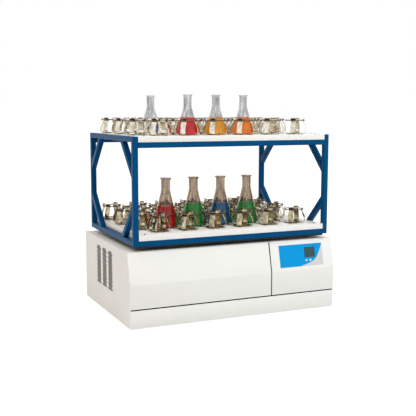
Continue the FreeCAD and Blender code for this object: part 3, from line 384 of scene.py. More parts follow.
def bar(name, start, end, steps=3):
    """Square tube with rounded corners between two points, its sides along x, y or z."""
    along = (end - start).normalized()
    across = Vector((1, 0, 0)) if abs(along.x) < 0.5 else Vector((0, 1, 0))
    over = along.cross(across)
    flat = TUBE / 2 - TUBE_CORNER
    ring = []
    for quarter in range(4):
        middle = math.pi / 2 * quarter + math.pi / 4
        for step in range(steps + 1):
            turn = math.pi / 2 * (quarter + step / steps)
            ring.append((math.copysign(flat, math.cos(middle)) + TUBE_CORNER * math.cos(turn),
                         math.copysign(flat, math.sin(middle)) + TUBE_CORNER * math.sin(turn)))
    size = len(ring)
    vertices = [spot + across * a + over * b for spot in (start, end) for a, b in ring]
    faces = [(k, (k + 1) % size, size + (k + 1) % size, size + k) for k in range(size)]
    faces += [tuple(range(size)), tuple(range(size, 2 * size))]
    return mesh_of(name, vertices, faces, 35)


def eased(name, width, finishes, slot, segments=2):
    """The frame's own part with its edges rounded."""
    source = frame["nodes"][name]
    mesh = source.data.copy()
    work = bmesh.new()
    work.from_mesh(mesh)
    bmesh.ops.remove_doubles(work, verts=work.verts, dist=2e-6)
    bmesh.ops.dissolve_limit(work, angle_limit=math.radians(0.5),
                             verts=work.verts, edges=work.edges)
    work.to_mesh(mesh)
    work.free()
    piece = loose("working_" + name, mesh)
    bevelled(piece, width, segments, 35)
    mesh = soft_shaded(baked(piece))
    dressed("finished_" + name, mesh, finishes[slot], source["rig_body"], [name])


# Finishes

def finish_of(name, code, roughness, metallic=0.0, **more):
    """New material with its surface node; returns the material, its tree and that node."""
    material = bpy.data.materials.new(name)
    material.use_nodes = True
    tree = material.node_tree
    surface = tree.nodes["Principled BSDF"]
    surface.inputs["Base Color"].default_value = colour(code)
    surface.inputs["Roughness"].default_value = roughness
    surface.inputs["Metallic"].default_value = metallic
    for key, value in more.items():
        surface.inputs[key.replace("_", " ")].default_value = value
    material.diffuse_color = colour(code)
    return material, tree, surface


def grained(tree, surface, size, height, tone, shade, patch, rough=None, stretch=(1, 1, 1),
            spread_of_tone=0.5):
    """Fine relief of a size in mm, with slow changes of colour and gloss of a patch size in mm."""
    place = added(tree, "ShaderNodeTexCoord")
    spread = added(tree, "ShaderNodeMapping", links={"Vector": place.outputs["Object"]},
                   Scale=stretch)
    relief = added(tree, "ShaderNodeTexNoise", "relief", {"Vector": spread.outputs[0]},
                   Scale=1 / (size * MM), Detail=3.0, Roughness=0.55)
    bump = added(tree, "ShaderNodeBump", "relief height", {"Height": relief.outputs["Fac"]},
                 Strength=0.6, Distance=height * MM)
    tree.links.new(bump.outputs[0], surface.inputs["Normal"])
    slow = added(tree, "ShaderNodeTexNoise", "patches", {"Vector": spread.outputs[0]},
                 Scale=1 / (patch * MM), Detail=4.0)
    steps = added(tree, "ShaderNodeMapRange", "contrast", {"Value": slow.outputs["Fac"]},
                  From_Min=0.5 - spread_of_tone, From_Max=0.5 + spread_of_tone)
    mix = added(tree, "ShaderNodeMix", "tone", {0: steps.outputs[0]}, data_type="RGBA")
    mix.inputs[6].default_value = colour(tone)
    mix.inputs[7].default_value = colour(shade)
    tree.links.new(mix.outputs[2], surface.inputs["Base Color"])
    if rough:
        gloss = added(tree, "ShaderNodeMapRange", "gloss", {"Value": slow.outputs["Fac"]},
                      To_Min=rough[0], To_Max=rough[1])
        tree.links.new(gloss.outputs[0], surface.inputs["Roughness"])


def coat(name, code, roughness, grain, metallic=0.0, **more):
    """New material with its grain, as grained() takes it."""
    material, tree, surface = finish_of(name, code, roughness, metallic, **more)
    grained(tree, surface, *grain)
    return material


def make_finishes():
    """Every material by its name."""
    made = {}

    # Gloss powder coat on steel tube: deep blue with the slight orange peel of a baked film.
    made["blue_paint"] = coat("powder coated steel tube, blue", "#00446F", 0.34,
                              (2.2, 0.05, "#004775", "#005183", 60, (0.3, 0.4)),
                              Specular_IOR_Level=0.05)

    # Textured powder coat on steel sheet: warm white, fine pebbled grain that spreads highlights.
    made["white_paint"] = coat("textured powder coat, off-white", "#F2F2EE", 0.5,
                               (1.6, 0.07, "#F4F4F0", "#EFEFEA", 120, (0.44, 0.56)))

    # Smooth powder coat on the folded trays: white, a little glossier than the cabinet.
    made["tray_paint"] = coat("smooth powder coat, white", "#F5F4F0", 0.36,
                              (2.6, 0.04, "#F6F5F1", "#F2F0EB", 90, (0.32, 0.42)))

    # Rolled and tumbled spring steel: bright, with warm and dark bands of painted reflection.
    # The lower tier's is a darker copy with a straw tint: painted shade and painted reflection
    # from the tray above and the clamps round it.
    for steel, bright, dull in (("stainless", "#FFFCF2", "#BCB096"),
                                ("straw_stainless", "#E6DABB", "#68593A")):
        made[steel] = coat("polished spring steel, " + steel.replace("_", " "), bright, 0.14,
                           (6, 0.05, bright, dull, 16, (0.06, 0.16), (1, 1, 0.6), 0.22), 1.0)

    # Oil tempered spring wire: brown black, the dark hoop round each clamp.
    made["spring_wire"] = coat("oil tempered spring wire", "#7A6F5E", 0.3,
                               (2, 0.05, "#85796A", "#5C5345", 12, (0.25, 0.4)), 1.0)

    # Turned and ground steel: grey with fine rings.
    made["machined_steel"] = coat("turned steel", "#8C8F94", 0.32,
                                  (0.8, 0.02, "#94979C", "#7E8187", 20, (0.26, 0.4), (1, 1, 6)),
                                  1.0)

    # Black baked coat on the carriage plate: dull, nearly black with a green cast. Its black is
    # also painted shade, the dark band under the frame where the gap lies in shade.
    made["black_plate"] = coat("matte black coat on steel plate", "#1E2C27", 0.6,
                               (1.4, 0.08, "#1C2A25", "#24322C", 70, (0.52, 0.68)),
                               Specular_IOR_Level=0.2)

    # Cast iron with machined faces: coarse skin, dark grey.
    made["cast_housing"] = coat("grey cast iron", "#4D4F52", 0.55,
                                (2.5, 0.25, "#54565A", "#3F4144", 30, (0.45, 0.7)), 1.0)

    # Machined aluminium: light, with fine cutter marks.
    made["alloy"] = coat("machined aluminium", "#B4B6B9", 0.34,
                         (0.9, 0.02, "#BCBEC1", "#A7A9AC", 25, (0.28, 0.42), (1, 8, 1)), 1.0)

    # Blown borosilicate: clear, with faint darker streaks up the glass.
    # The large flasks' glass is a darker warm grey copy: painted shade from the tray above.
    for glass, code, streak in (("clear_glass", "#F3F3F2", "#B4B4B6"),
                               ("thick_glass", "#DACDBE", "#9C8E7E")):
        made[glass] = coat("borosilicate, " + glass.replace("_", " "), code, 0.02,
                           (30, 0.006, code, streak, 9, None, (1, 1, 0.12), 0.16),
                           Transmission_Weight=1.0, IOR=1.47)

    # Dyed water: strong colour that is a little cloudy, wet surface. Each dye also glows faintly
    # in its own colour, painted light in place of the lamp light that the glass holds back;
    # the glow is stronger in the small flasks.
    for dye, code, deep, glow in (("red", "#F0262A", "#E02024", 0.12),
                                  ("green", "#30C050", "#1CAE3C", 0.15),
                                  ("blue", "#068CD8", "#057CC8", 0.1),
                                  ("scarlet", "#F0242C", "#DC1C24", 0.24),
                                  ("azure", "#0A90E8", "#0884D8", 0.25),
                                  ("yellow", "#FFB81C", "#F2A410", 0.26),
                                  ("orange", "#FF9414", "#F4800C", 0.28)):
        made[dye] = coat("dyed solution, " + dye, code, 0.15, (14, 0.005, code, deep, 30),
                         Transmission_Weight=0.1, IOR=1.33, Specular_IOR_Level=0.2,
                         Emission_Color=colour(code), Emission_Strength=glow)

    # Toothed belt: dull black rubber with a woven back.
    made["belt_rubber"] = coat("neoprene belt", "#1A1A1A", 0.75,
                               (1.2, 0.15, "#1C1C1C", "#141414", 12, (0.65, 0.85)))

    # Moulded rubber feet: soft black, slightly dusty.
    made["foot_rubber"] = coat("moulded rubber", "#171717", 0.8,
                               (1.5, 0.1, "#191919", "#222120", 15, (0.7, 0.9)))

    # Printed polyester film: even colour under a fine satin texture.
    made["overlay_film"] = coat("printed polyester film, blue", "#0099DE", 0.38,
                                (0.9, 0.02, "#0098DE", "#009DE2", 80, (0.34, 0.42)),
                                Specular_IOR_Level=0.15)
    made["overlay_grey"] = coat("printed polyester film, grey", "#D7D8D6", 0.38,
                                (0.9, 0.02, "#D8D9D7", "#D2D3D1", 80, (0.34, 0.42)))

    # Smoked acrylic window: dark grey green, glossy.
    made["display_glass"] = coat("smoked acrylic window", "#304F55", 0.12,
                                 (12, 0.01, "#2F4D53", "#37565B", 25), Specular_IOR_Level=0.3)

    # Moulded ABS: white keys with a soft sheen.
    made["white_plastic"] = coat("moulded ABS, white", "#F2F2F2", 0.32,
                                 (0.8, 0.02, "#F3F3F3", "#EFEFEE", 10, (0.28, 0.38)))

    # Moulded polyamide: black, with a fine spark-eroded grain.
    made["black_plastic"] = coat("moulded polyamide, black", "#151515", 0.48,
                                 (0.9, 0.06, "#171717", "#101010", 20, (0.42, 0.55)))

    # Open cell foam: dull black with visible pores; the strips and pads made of it are painted
    # shade.
    made["foam"] = coat("open cell foam, black", "#0C0C0C", 0.95,
                        (1.8, 0.6, "#0A0A0A", "#141414", 6, (0.9, 1.0)), Specular_IOR_Level=0.1)

    # Circuit board: green solder mask, half gloss, with the faint pattern of tracks.
    made["board"] = coat("solder mask on glass epoxy", "#0E5A34", 0.35,
                         (2.5, 0.05, "#0D5632", "#14693D", 8, (0.3, 0.42)))
    return made


# Spring clamps

def clamp_tree():
    """Geometry tree that stands a spring clamp on every point it is given."""
    tree = bpy.data.node_groups.new("spring clamps", "GeometryNodeTree")
    face = tree.interface
    face.new_socket("Geometry", in_out="INPUT", socket_type="NodeSocketGeometry")
    sockets = {}
    for name, kind in (("Finger", "NodeSocketObject"), ("Dish", "NodeSocketObject"),
                       ("Fingers", "NodeSocketInt"), ("Ring radius", "NodeSocketFloat"),
                       ("Ring wire", "NodeSocketFloat"), ("Ring height", "NodeSocketFloat"),
                       ("Turn", "NodeSocketFloat"), ("Seed", "NodeSocketInt"),
                       ("Wire steel", "NodeSocketMaterial"), ("Steel", "NodeSocketMaterial")):
        sockets[name] = face.new_socket(name, in_out="INPUT", socket_type=kind).identifier
    face.new_socket("Geometry", in_out="OUTPUT", socket_type="NodeSocketGeometry")
    given = added(tree, "NodeGroupInput").outputs

    # one finger at each step of the circle
    step = added(tree, "ShaderNodeMath", "angle between fingers", {1: given["Fingers"]},
                 operation="DIVIDE")
    step.inputs[0].default_value = 2 * math.pi
    index = added(tree, "GeometryNodeInputIndex")
    turn = added(tree, "ShaderNodeMath", "finger angle", {0: index.outputs[0], 1: step.outputs[0]},
                 operation="MULTIPLY_ADD")
    turn.inputs[2].default_value = math.pi / 4
    angles = added(tree, "ShaderNodeCombineXYZ", links={"Z": turn.outputs[0]})
    middle = added(tree, "GeometryNodeMeshLine", "one point a finger", {"Count": given["Fingers"]},
                   Offset=(0, 0, 0))
    finger = added(tree, "GeometryNodeObjectInfo", links={"Object": given["Finger"]})
    fingers = added(tree, "GeometryNodeInstanceOnPoints", "fingers", {
        "Points": middle.outputs[0], "Instance": finger.outputs["Geometry"],
        "Rotation": angles.outputs[0]})

    # the wire ring round their waist
    hoop, wire = [added(tree, "GeometryNodeCurvePrimitiveCircle", links={"Radius": given[radius]},
                        Resolution=corners)
                  for radius, corners in (("Ring radius", 40), ("Ring wire", 6))]
    ring = added(tree, "GeometryNodeCurveToMesh", links={
        "Curve": hoop.outputs[0], "Profile Curve": wire.outputs[0]})
    lift = added(tree, "ShaderNodeCombineXYZ", links={"Z": given["Ring height"]})
    raised = added(tree, "GeometryNodeTransform", "ring at the waist", {
        "Geometry": ring.outputs[0], "Translation": lift.outputs[0]})
    dark = added(tree, "GeometryNodeSetMaterial", links={
        "Geometry": raised.outputs[0], "Material": given["Wire steel"]})

    # fingers, dish and ring together
    dish = added(tree, "GeometryNodeObjectInfo", links={"Object": given["Dish"]})
    bright = added(tree, "GeometryNodeJoinGeometry", "fingers and dish")
    for part in (fingers.outputs[0], dish.outputs["Geometry"]):
        tree.links.new(part, bright.inputs[0])
    steel = added(tree, "GeometryNodeSetMaterial", links={
        "Geometry": bright.outputs[0], "Material": given["Steel"]})
    clamp = added(tree, "GeometryNodeJoinGeometry", "one clamp")
    for part in (steel.outputs[0], dark.outputs[0]):
        tree.links.new(part, clamp.inputs[0])

    # a clamp on every point, each turned a little
    back = added(tree, "ShaderNodeMath", "turn the other way", {0: given["Turn"]},
                 operation="MULTIPLY")
    back.inputs[1].default_value = -1
    chance = added(tree, "FunctionNodeRandomValue", "small turn",
                   {2: back.outputs[0], 3: given["Turn"], "Seed": given["Seed"]}, data_type="FLOAT")
    twist = added(tree, "ShaderNodeCombineXYZ", links={"Z": chance.outputs[1]})
    field = added(tree, "GeometryNodeInstanceOnPoints", "field", {
        "Points": given["Geometry"], "Instance": clamp.outputs[0], "Rotation": twist.outputs[0]})
    plain = added(tree, "GeometryNodeRealizeInstances", links={"Geometry": field.outputs[0]})
    added(tree, "NodeGroupOutput", links={0: plain.outputs[0]})
    return tree, sockets


def finger_mesh(sizes):
    """Spring strip bent to the flask: foot, belly, waist and flared, rounded tip."""
    belly, waist, waist_height, tip, height = sizes
    foot = DISH_RISE + FINGER_SHEET
    points = [(DISH_RADIUS - 2, foot), (belly - 8, foot), (belly - 2.6, foot + 2.2),
              (belly, foot + 8), (belly, 27), (belly - 0.3 * (belly - waist), 42),
              (waist + 1.8, waist_height - 7), (waist, waist_height - 1),
              (waist + 2.6, waist_height + 6), (tip, height)]
    # the foot's corners stand close together and need no points between them
    line = [point for place, point in enumerate(curve_through(points, 2)) if place not in (1, 3, 5)]
    half = FINGER_WIDTH / 2
    widths = [half] * (len(line) - 2) + [half * 0.93, half * 0.62]
    vertices = []
    for side in (line, beside(line, FINGER_SHEET)):
        for (r, z), width in zip(side, widths):
            vertices += [(r - CROWN, -width, z), (r, 0, z), (r - CROWN, width, z)]
    side_size = 3 * len(line)
    faces = []
    for low in range(0, side_size - 3, 3):
        for start in (low, low + 1, side_size + low, side_size + low + 1):
            faces.append((start, start + 1, start + 4, start + 3))
        for edge in (low, low + 2):
            faces.append((edge, edge + 3, edge + 3 + side_size, edge + side_size))
    for end in (0, 1, side_size - 3, side_size - 2):
        faces.append((end, end + 1, end + 1 + side_size, end + side_size))
    return mesh_of("spring finger", vertices, faces, 50)


def dish_mesh():
    """Pressed dish with the domed screw that holds it to the tray."""
    rim, floor = DISH_RADIUS, DISH_RADIUS - 6
    outline = [(0, 0), (floor, 0), (floor + 2.5, 0.8), (rim, DISH_RISE), (rim - 1, DISH_RISE + 0.7),
               (floor + 1.2, 1.9), (floor - 1.5, 1.2), (0, 1.2)]
    screw = [(0, 1.2), (4, 1.2), (3.8, 1.7), (2.6, 2.15), (0, 2.2)]
    return joined("dish", [lathed("pressed dish", outline, 28), lathed("dish screw", screw, 10)])


def clamp_places():
    """Middle of each clamp by row and column."""
    return {(row, column): (FIRST_CLAMP[0] - ROW_SHIFT * (row % 2) + CLAMP_PITCH * column,
                            FIRST_CLAMP[1] + ROW_PITCH * row)
            for row in range(ROWS) for column in range(COLUMNS)}


def clamp_field(tree, sockets, spots, top, sizes, steel, wire, seed):
    """Baked mesh of the clamps of one size on one tray."""
    waist, waist_height = sizes[1:3]
    finger, dish = loose("finger", finger_mesh(sizes)), loose("dish", dish_mesh())
    points = bpy.data.meshes.new("clamp field")
    points.from_pydata([Vector((x, y, top)) * MM for x, y in spots], [], [])
    field = loose("clamp field", points)
    work = field.modifiers.new("clamps", "NODES")
    work.node_group = tree
    values = {"Finger": finger, "Dish": dish, "Fingers": FINGERS, "Ring wire": WIRE_RADIUS * MM,
              "Ring radius": (math.hypot(waist, FINGER_WIDTH / 2) + RING_GAP + WIRE_RADIUS) * MM,
              "Ring height": waist_height * MM, "Turn": math.radians(CLAMP_TURN), "Seed": seed,
              "Steel": steel, "Wire steel": wire}
    for key, value in values.items():
        work[sockets[key]] = value
    mesh = baked(field)
    for piece in (finger, dish):
        bpy.data.objects.remove(piece)
    return soft_shaded(mesh, 50)


def make_clamps(finishes):
    """Clamps on both trays, the large ones where the large flasks stand."""
    tree, sockets = clamp_tree()
    places = clamp_places()
    # the lower tier's clamps take the steel with painted shade and painted reflection
    for tier, large, steel, seed, shared in (
            ("lower", [spot[:2] for spot in LOWER_FLASKS], "straw_stainless", 3,
             ["clamp_dishes", "clamp_rings"]),
            ("upper", [], "stainless", 8, [])):
        parts = []
        for sizes, wanted in ((SMALL_CLAMP, False), (LARGE_CLAMP, True)):
            spots = [places[key] for key in places if (key in large) == wanted]
            if spots:
                parts.append(clamp_field(tree, sockets, spots, TRAY_TOPS[tier], sizes,
                                         finishes[steel], finishes["spring_wire"], seed))
        settled(tier + "_spring_clamps", soft_shaded(joined(tier + " clamps", parts), 50),
                "carriage", [tier + "_clamp_fingers"] + shared)


# Screws

def pan_head():
    """Screw head with a round socket, standing up."""
    outline = [(0, 0), (4.5, 0), (4.5, 1.4), (3.9, 2.4), (2.6, 2.9), (1.5, 3), (1.5, 1.8), (0, 1.8)]
    return lathed("pan head", outline, 20)


def make_tray_screws(finishes):
    """Pan heads at the corners of both trays."""
    head = pan_head()
    screws = [moved(head, x, y, top) for top in TRAY_TOPS.values() for x, y in TRAY_SCREWS]
    dressed("tray_screw_heads", soft_shaded(joined("screws", screws)), finishes["machined_steel"],
            "carriage", ["tray_fasteners"])


# Flasks

def cone_slope(sizes):
    """Radius that a flask's cone loses with each millimetre of height."""
    return (sizes[0] - sizes[2]) / (sizes[5] - sizes[4])


def flask_line(sizes):
    """Outer line of a blown conical flask, from the middle of its foot to under its rim."""
    radius, height, neck, rim, foot, top = sizes
    slope = cone_slope(sizes)
    outer = [(0, 1.2), (radius * 0.72, 0.8), (radius - 8, 0), (radius - 3.2, 1.3),
             (radius - 0.7, 5), (radius, 10), (radius - 0.3, foot + 1),
             (radius - slope * 14, foot + 14)]
    for share in (0.3, 0.5, 0.7):
        z = foot + (top - foot) * share
        outer.append((radius - slope * (z - foot), z))
    outer += [(neck + slope * 9, top - 9), (neck + 0.5, top + 3), (neck, top + 12),
              (neck, height - 16), (neck + 0.3, height - 10), (neck + 1.8, height - 6),
              (rim - 1.2, height - 3)]
    return curve_through(outer, 3)


def within(line, distance):
    """Line that far inside a flask's outer line."""
    inner = [(max(r, 0), z) for r, z in beside(line, distance)]
    inner[0] = (0, line[0][1] + distance)
    return inner


def flask_outline(sizes):
    """Closed outline of a flask's wall."""
    height, rim = sizes[1], sizes[3]
    line = flask_line(sizes)
    lip = [(rim, height - 1.9), (rim, height - 0.8), (rim - 0.9, height), (rim - 2.2, height - 0.2)]
    return line + lip + within(line, GLASS_WALL)[::-1]


def liquid_outline(sizes, level):
    """Contents with a small meniscus, which reach a little into the glass to leave no gap."""
    side = [(r, z) for r, z in within(flask_line(sizes), GLASS_WALL - LIQUID_LAP) if z < level]
    edge = side[-1][0] - cone_slope(sizes) * (level - side[-1][1])
    return side + [(edge, level), (edge - 0.8, level - 0.5), (edge - 2.4, level - 0.9),
                   (0, level - 1)]


def make_flasks(finishes):
    """Flasks and their contents, standing in clamps."""
    places = clamp_places()
    # the lower flasks take the glass with painted shade
    for tier, glass, sizes, spots in (("lower", "thick_glass", LARGE_FLASK, LOWER_FLASKS),
                                      ("upper", "clear_glass", SMALL_FLASK, UPPER_FLASKS)):
        stand = TRAY_TOPS[tier] + FLASK_STAND
        flask = lathed("blown flask", flask_outline(sizes), 56, 60)
        flasks, contents = [], {}
        for row, column, level, dye in spots:
            x, y = places[row, column]
            flasks.append(moved(flask, x, y, stand))
            fill = lathed("contents", liquid_outline(sizes, level), 56, 50)
            contents.setdefault(dye, []).append(moved(fill, x, y, stand))
        dressed(tier + "_conical_flasks", soft_shaded(joined("flasks", flasks), 60),
                finishes[glass], "carriage", [tier + "_flasks"])
        for dye, fills in contents.items():
            hides = ["flask_contents"] if (tier, dye) == ("lower", "red") else []
            dressed("%s_%s_solution" % (tier, dye), soft_shaded(joined("solution", fills), 50),
                    finishes[dye], "carriage", hides)


# Carriage frame

def make_frame(finishes):
    """Rounded square tubes in the place of the frame's own, and the sheets between them."""
    for name in frame["nodes"]:
        if name.startswith(("post_", "side_rail_", "cross_rail_")):
            low, high = cad_corners(name)
            size = high - low
            axis = max(range(3), key=lambda k: size[k])
            start = (low + high) / 2
            end = start.copy()
            start[axis], end[axis] = low[axis], high[axis]
            dressed("tube_" + name, bar(name, start, end), finishes["blue_paint"],
                    "carriage", [name])
    eased("side_braces", 2.6, finishes, "blue_paint", 3)
    for name in ("lower_tray", "upper_tray"):
        eased(name, 1.5, finishes, "tray_paint", 3)
    # the plate's black is partly painted shade under the frame
    eased("carriage_plate", 1.5, finishes, "black_plate")


# Cabinet

def slope_y(z):
    """Where the leaning face stands at a height."""
    return FRONT_Y + LEAN * (z - SLOPE_FOOT)


def slope_spot(x, drop, stand=0.0):
    """Point on the leaning face: x, distance down it and height off it."""
    lean = math.atan(LEAN)
    y = SLOPE_TOP_Y - drop * math.sin(lean) - stand * math.cos(lean)
    z = CABINET_TOP - drop * math.cos(lean) + stand * math.sin(lean)
    return (x, y, z)


def front_sheet(name, x0, x1, tools=()):
    """Bent front sheet: up the upright face, then back along the slope, its edges rounded."""
    top = CABINET_TOP - SHEET - CLEAR
    line = rounded((FRONT_Y, SKIRT_TOP + SEAM), (FRONT_Y, SLOPE_FOOT), (slope_y(top), top),
                   SHEET_BEND)
    inner = [(y + SHEET, z) for y, z in line]
    piece = loose(name, extruded(name, line + inner[::-1], x0, x1))
    for tool in tools:
        hole = piece.modifiers.new("hole", "BOOLEAN")
        hole.object = tool
        hole.solver = "EXACT"
    bevelled(piece, 0.6, 3, 50)
    mesh = baked(piece)
    for tool in tools:
        bpy.data.objects.remove(tool)
    return soft_shaded(mesh, 30)


def slope_tool(name, loop):
    """Cutter through the leaning sheet."""
    depth = 16
    return loose(name, plate(name, [loop], depth, lambda x, drop, height: slope_spot(
        x, drop, height - depth / 2)))


def vent_slots():
    """Middle of each vent slot on a side panel, as y and z."""
    places = []
    for middle in VENT_STRIPS:
        for row in range(VENT_ROWS):
            across = 3 - row % 2
            for place in range(across):
                places.append((middle + VENT_PITCH * (place - (across - 1) / 2),
                               VENT_FOOT + VENT_ROW_PITCH * row))
    return places


def side_panel(name, side):
    """Side sheet with its punched slots, their edges drawn in a little."""
    low, high = cad_corners(name)
    outline = [(low.y, low.z), (high.y, low.z), (high.y, high.z),
               (slope_y(high.z), high.z), (low.y, SLOPE_FOOT)]
    slots = [slot_line(y, z, SLOT_WIDTH, SLOT_HEIGHT, SLOT_CORNER) for y, z in vent_slots()]
    return plate(name, [outline] + slots, SHEET,
                 lambda y, z, height: (side * (HALF_WIDTH - SHEET + height), y, z), SLOT_EASE)


def window_line(more=0.0):
    """Line round the display window, that much larger on each side."""
    left, right = WINDOW_LEFT - more, WINDOW_RIGHT + more
    top, foot = WINDOW_TOP - more, WINDOW_FOOT + more
    return [(left, top), (left, foot), (right, foot), (right, top)]


def make_cabinet(finishes):
    """Front cover, console cover with its holes, the other sheets and the feet."""
    white = finishes["white_paint"]
    tools = [slope_tool("window", window_line(WINDOW_GAP))]
    tools += [slope_tool("key hole", circle(*key, KEY_HOLE)) for key in KEYS]
    cover = front_sheet("cover", -HALF_WIDTH + SHEET, CONSOLE_X - SEAM / 2)
    dressed("front_cover_sheet", cover, white, "base", ["front_cover"])
    console = front_sheet("console", CONSOLE_X + SEAM / 2, HALF_WIDTH - SHEET, tools)
    dressed("console_sheet", console, white, "base", ["console_housing"])
    for name in ("top_panel", "front_skirt", "back_panel", "base_pan"):
        eased(name, 0.9, finishes, "white_paint")
    for name, side in (("left_side_panel", -1), ("right_side_panel", 1)):
        dressed("finished_" + name, side_panel(name, side), white, "base", [name])
    eased("rubber_feet", 1.2, finishes, "foot_rubber")


def make_seals(finishes):
    """Black foam behind the two front seams, and black filters behind the side vents: painted
    shade, dark pieces that stand in for the shade inside the cabinet.
    """
    y = FRONT_Y + SHEET + CLEAR
    strips = []
    for face, x0, x1 in (
            ([(y, z) for z in LYING_SHADE_FOAM], -HALF_WIDTH + SHADE_FOAM_END, HALF_WIDTH - SHADE_FOAM_END),
            ([(y, SHADE_FOAM_FOOT), (y, SLOPE_FOOT), (y + LEAN * SHADE_FOAM_RISE, SLOPE_FOOT + SHADE_FOAM_RISE)],
             CONSOLE_X - SHADE_FOAM_REACH, CONSOLE_X + SHADE_FOAM_REACH)):
        back = [(front + SHADE_FOAM, z) for front, z in face]
        strips.append(extruded("foam", face + back[::-1], x0, x1))
    # painted shade: black strips fill the seams' gaps
    dressed("seam_foam", joined("foam", strips), finishes["foam"], "base")

    # each filter has a black pad in every slot, painted shade, with a thin gap round it
    half_width, half_height = SLOT_WIDTH / 2 - PAD_GAP, SLOT_HEIGHT / 2 - PAD_GAP
    parts = []
    for side in (-1, 1):
        x = side * (HALF_WIDTH - SHEET - SHADE_FILTER_GAP)
        ends = (x, x - side * SHADE_FILTER_DEPTH)
        for y in VENT_STRIPS:
            outline = rectangle(y - SHADE_FILTER_REACH, y + SHADE_FILTER_REACH, SHADE_FILTER_FOOT, SHADE_FILTER_TOP)
            parts.append(extruded("filter", outline, min(ends), max(ends)))
        ends = (side * (HALF_WIDTH - CLEAR), x)
        for y, z in vent_slots():
            outline = rectangle(y - half_width, y + half_width, z - half_height, z + half_height)
            parts.append(extruded("filter pad", outline, min(ends), max(ends)))
    # painted shade: black pads fill the vent slots
    dressed("vent_filters", joined("filters", parts), finishes["foam"], "base")


def make_console(finishes):
    """Printed film in two colours, the smoked window and the keys."""
    edge = curve_through(COLOUR_LINE, 6)
    keys = [circle(*key, KEY_HOLE + KEY_GAP) for key in KEYS]
    outline = [(FILM_LEFT, FILM_TOP)] + edge + [(FILM_LEFT, FILM_FOOT)]
    blue = plate("blue film", [outline, window_line()] + keys, BLUE_FILM, slope_spot)
    grey = plate("grey film", [edge + [(FILM_RIGHT, FILM_FOOT)]], GREY_FILM, slope_spot)
    dressed("overlay_blue_film", blue, finishes["overlay_film"], "base",
            ["control_overlay"])
    dressed("overlay_grey_film", grey, finishes["overlay_grey"], "base")
    eased("display_module", 0.8, finishes, "display_glass")
    for name in ("left_button", "right_button"):
        eased(name, 0.5, finishes, "white_plastic")


def make_rear(finishes):
    """Screws round the back panel, and the parts set in it."""
    low, high = cad_corners("back_panel")
    head = pan_head()
    head.transform(Matrix.Rotation(-math.pi / 2, 4, "X"))
    screws = [moved(head, x, high.y, z) for x in BACK_SCREWS_X
              for z in (low.z + BACK_SCREW_EDGE, high.z - BACK_SCREW_EDGE)]
    dressed("back_panel_screws", soft_shaded(joined("screws", screws)), finishes["machined_steel"],
            "base")
    for name, width in (("power_inlet", 0.6), ("power_rocker", 0.6), ("fan_frame", 0.8),
                        ("fan_rotor", 0.3)):
        eased(name, width, finishes, "black_plastic")
    eased("fan_guard", 0.2, finishes, "machined_steel")


def dress_the_rest(finishes):
    """Frame parts that keep their own shape take their finish."""
    for part in frame["record"]["subparts"]:
        painted(frame["nodes"][part["node"]].data,
                finishes.get(part.get("material_slot"), finishes["machined_steel"]))


# Stage, lights and camera

def seen_by(tree):
    """1 for the camera, mirrors and glass, 0 for light that reaches a dull surface."""
    path = added(tree, "ShaderNodeLightPath").outputs
    seen = path["Is Camera Ray"]
    for ray in ("Is Glossy Ray", "Is Transmission Ray"):
        either = added(tree, "ShaderNodeMath", links={0: seen, 1: path[ray]}, operation="MAXIMUM")
        seen = either.outputs[0]
    return seen


def make_stage():
    """Floor that reaches to the horizon."""
    corners = rectangle(-FLOOR_REACH, FLOOR_REACH, -FLOOR_REACH, FLOOR_REACH)
    mesh = mesh_of("floor", [(x, y, 0) for x, y in corners], [(0, 1, 2, 3)])
    loose("studio_floor", mesh)
    # Matt white studio floor: shows its soft shadow, and is white to the camera and in reflections.
    material, tree, surface = finish_of("matt studio floor", "#D9D9D9", 0.9, Specular_IOR_Level=0.0)
    place = added(tree, "ShaderNodeTexCoord")
    relief = added(tree, "ShaderNodeTexNoise", "relief", {"Vector": place.outputs["Object"]},
                   Scale=40.0)
    bump = added(tree, "ShaderNodeBump", links={"Height": relief.outputs["Fac"]},
                 Strength=0.05, Distance=0.0005)
    tree.links.new(bump.outputs[0], surface.inputs["Normal"])
    glow = added(tree, "ShaderNodeEmission", links={"Strength": seen_by(tree)},
                 Color=colour("#DFDFDF"))
    both = added(tree, "ShaderNodeAddShader", links={0: surface.outputs[0], 1: glow.outputs[0]})
    tree.links.new(both.outputs[0], tree.nodes["Material Output"].inputs["Surface"])
    mesh.materials.append(material)


def stops(tree, value, *pairs):
    """Smooth steps of a value, as pairs of place and brightness; what is dim is warm."""
    ramp = added(tree, "ShaderNodeValToRGB", links={"Fac": value})
    marks = ramp.color_ramp.elements
    while len(marks) < len(pairs):
        marks.new(0.5)
    for mark, (place, level) in zip(marks, pairs):
        mark.position = place
        mark.color = (level, level ** 1.2, level ** 1.5, 1)
    return ramp.outputs[0]


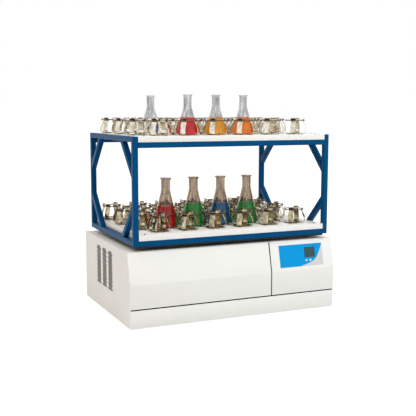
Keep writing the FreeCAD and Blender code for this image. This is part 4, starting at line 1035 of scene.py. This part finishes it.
def make_world():
    """White to the camera; mirrors and glass also meet a dim ceiling and a dim gap at each side."""
    world = bpy.data.worlds.new("studio")
    bpy.context.scene.world = world
    world.use_nodes = True
    tree = world.node_tree
    tree.nodes.clear()
    toward = added(tree, "ShaderNodeTexCoord").outputs["Generated"]
    parts = added(tree, "ShaderNodeSeparateXYZ", links={0: toward})
    ceiling = stops(tree, parts.outputs["Z"],
                    (0.0, 1), (0.72, 1), (0.82, 0.3), (0.95, 0.3), (1.0, 1))
    side = added(tree, "ShaderNodeVectorMath", links={0: toward}, operation="DOT_PRODUCT")
    side.inputs[1].default_value = (math.cos(STUDIO_TURN), -math.sin(STUDIO_TURN), 0)
    reach = added(tree, "ShaderNodeMath", links={0: side.outputs["Value"]}, operation="ABSOLUTE")
    gaps = stops(tree, reach.outputs[0],
                 (0.0, 1), (0.9, 1), (0.95, 0.12), (0.985, 0.12), (1.0, 0.5))
    dim = added(tree, "ShaderNodeVectorMath", links={0: ceiling, 1: gaps}, operation="MULTIPLY")
    path = added(tree, "ShaderNodeLightPath")
    level = added(tree, "ShaderNodeVectorMath", operation="MAXIMUM",
                  links={0: dim.outputs[0], 1: path.outputs["Is Camera Ray"]})
    dull = added(tree, "ShaderNodeBackground", Color=colour("#FFFFFF"), Strength=0.53)
    bright = added(tree, "ShaderNodeBackground", links={"Color": level.outputs[0]}, Strength=1.0)
    mix = added(tree, "ShaderNodeMixShader", links={
        "Fac": seen_by(tree), 1: dull.outputs[0], 2: bright.outputs[0]})
    added(tree, "ShaderNodeOutputWorld", links={0: mix.outputs[0]})


def lamp(name, place, target, size, power, tint):
    """Square soft light that mirrors and glass don't show; places in metres, power in watts."""
    data = bpy.data.lights.new(name, "AREA")
    data.shape = "RECTANGLE"
    data.size = data.size_y = size
    data.energy = power
    data.color = colour(tint)[:3]
    light = loose(name, data)
    light.visible_glossy = False
    light.visible_transmission = False
    light.location = place
    light.rotation_mode = "QUATERNION"
    light.rotation_quaternion = (Vector(target) - Vector(place)).to_track_quat("-Z", "Y")


def make_lights():
    """One large soft light from the front and above, and two small warm ones from the left."""
    lamp("key softbox", (1.0, -2.6, 4.2), (0, 0, 0.45), 3.0, 137, "#FFFFFF")
    lamp("left softbox", (-4.1, 0.4, 2.0), (0, 0, 0.5), 2.0, 11, "#FFB468")
    lamp("upper left softbox", (-2.3, -0.1, 3.4), (-0.3, 0, 0.4), 1.6, 27, "#FFF6EA")


def make_camera():
    """Camera of the picture: turn about z, tilt down and roll, in radians."""
    turn, tilt, roll = STUDIO_TURN, 0.1253, 0.0019
    ahead = Vector((math.sin(turn) * math.cos(tilt), math.cos(turn) * math.cos(tilt),
                    -math.sin(tilt)))
    right = Vector((math.cos(turn), -math.sin(turn), 0))
    up = right.cross(ahead)
    right, up = (right * math.cos(roll) + up * math.sin(roll),
                 up * math.cos(roll) - right * math.sin(roll))
    data = bpy.data.cameras.new("camera")
    data.lens = 66.56
    data.sensor_width = 36
    data.clip_end = 200
    camera = loose("camera", data)
    camera.matrix_world = (Matrix.Translation(Vector(CAMERA_PLACE) * MM)
                           @ Matrix((right, up, -ahead)).transposed().to_4x4())
    bpy.context.scene.camera = camera


make_camera()
finishes = make_finishes()
dress_the_rest(finishes)
make_frame(finishes)
make_clamps(finishes)
make_tray_screws(finishes)
make_flasks(finishes)
make_cabinet(finishes)
make_seals(finishes)
make_console(finishes)
make_rear(finishes)
make_stage()
make_world()
make_lights()
bpy.context.scene.view_settings.view_transform = "Standard"
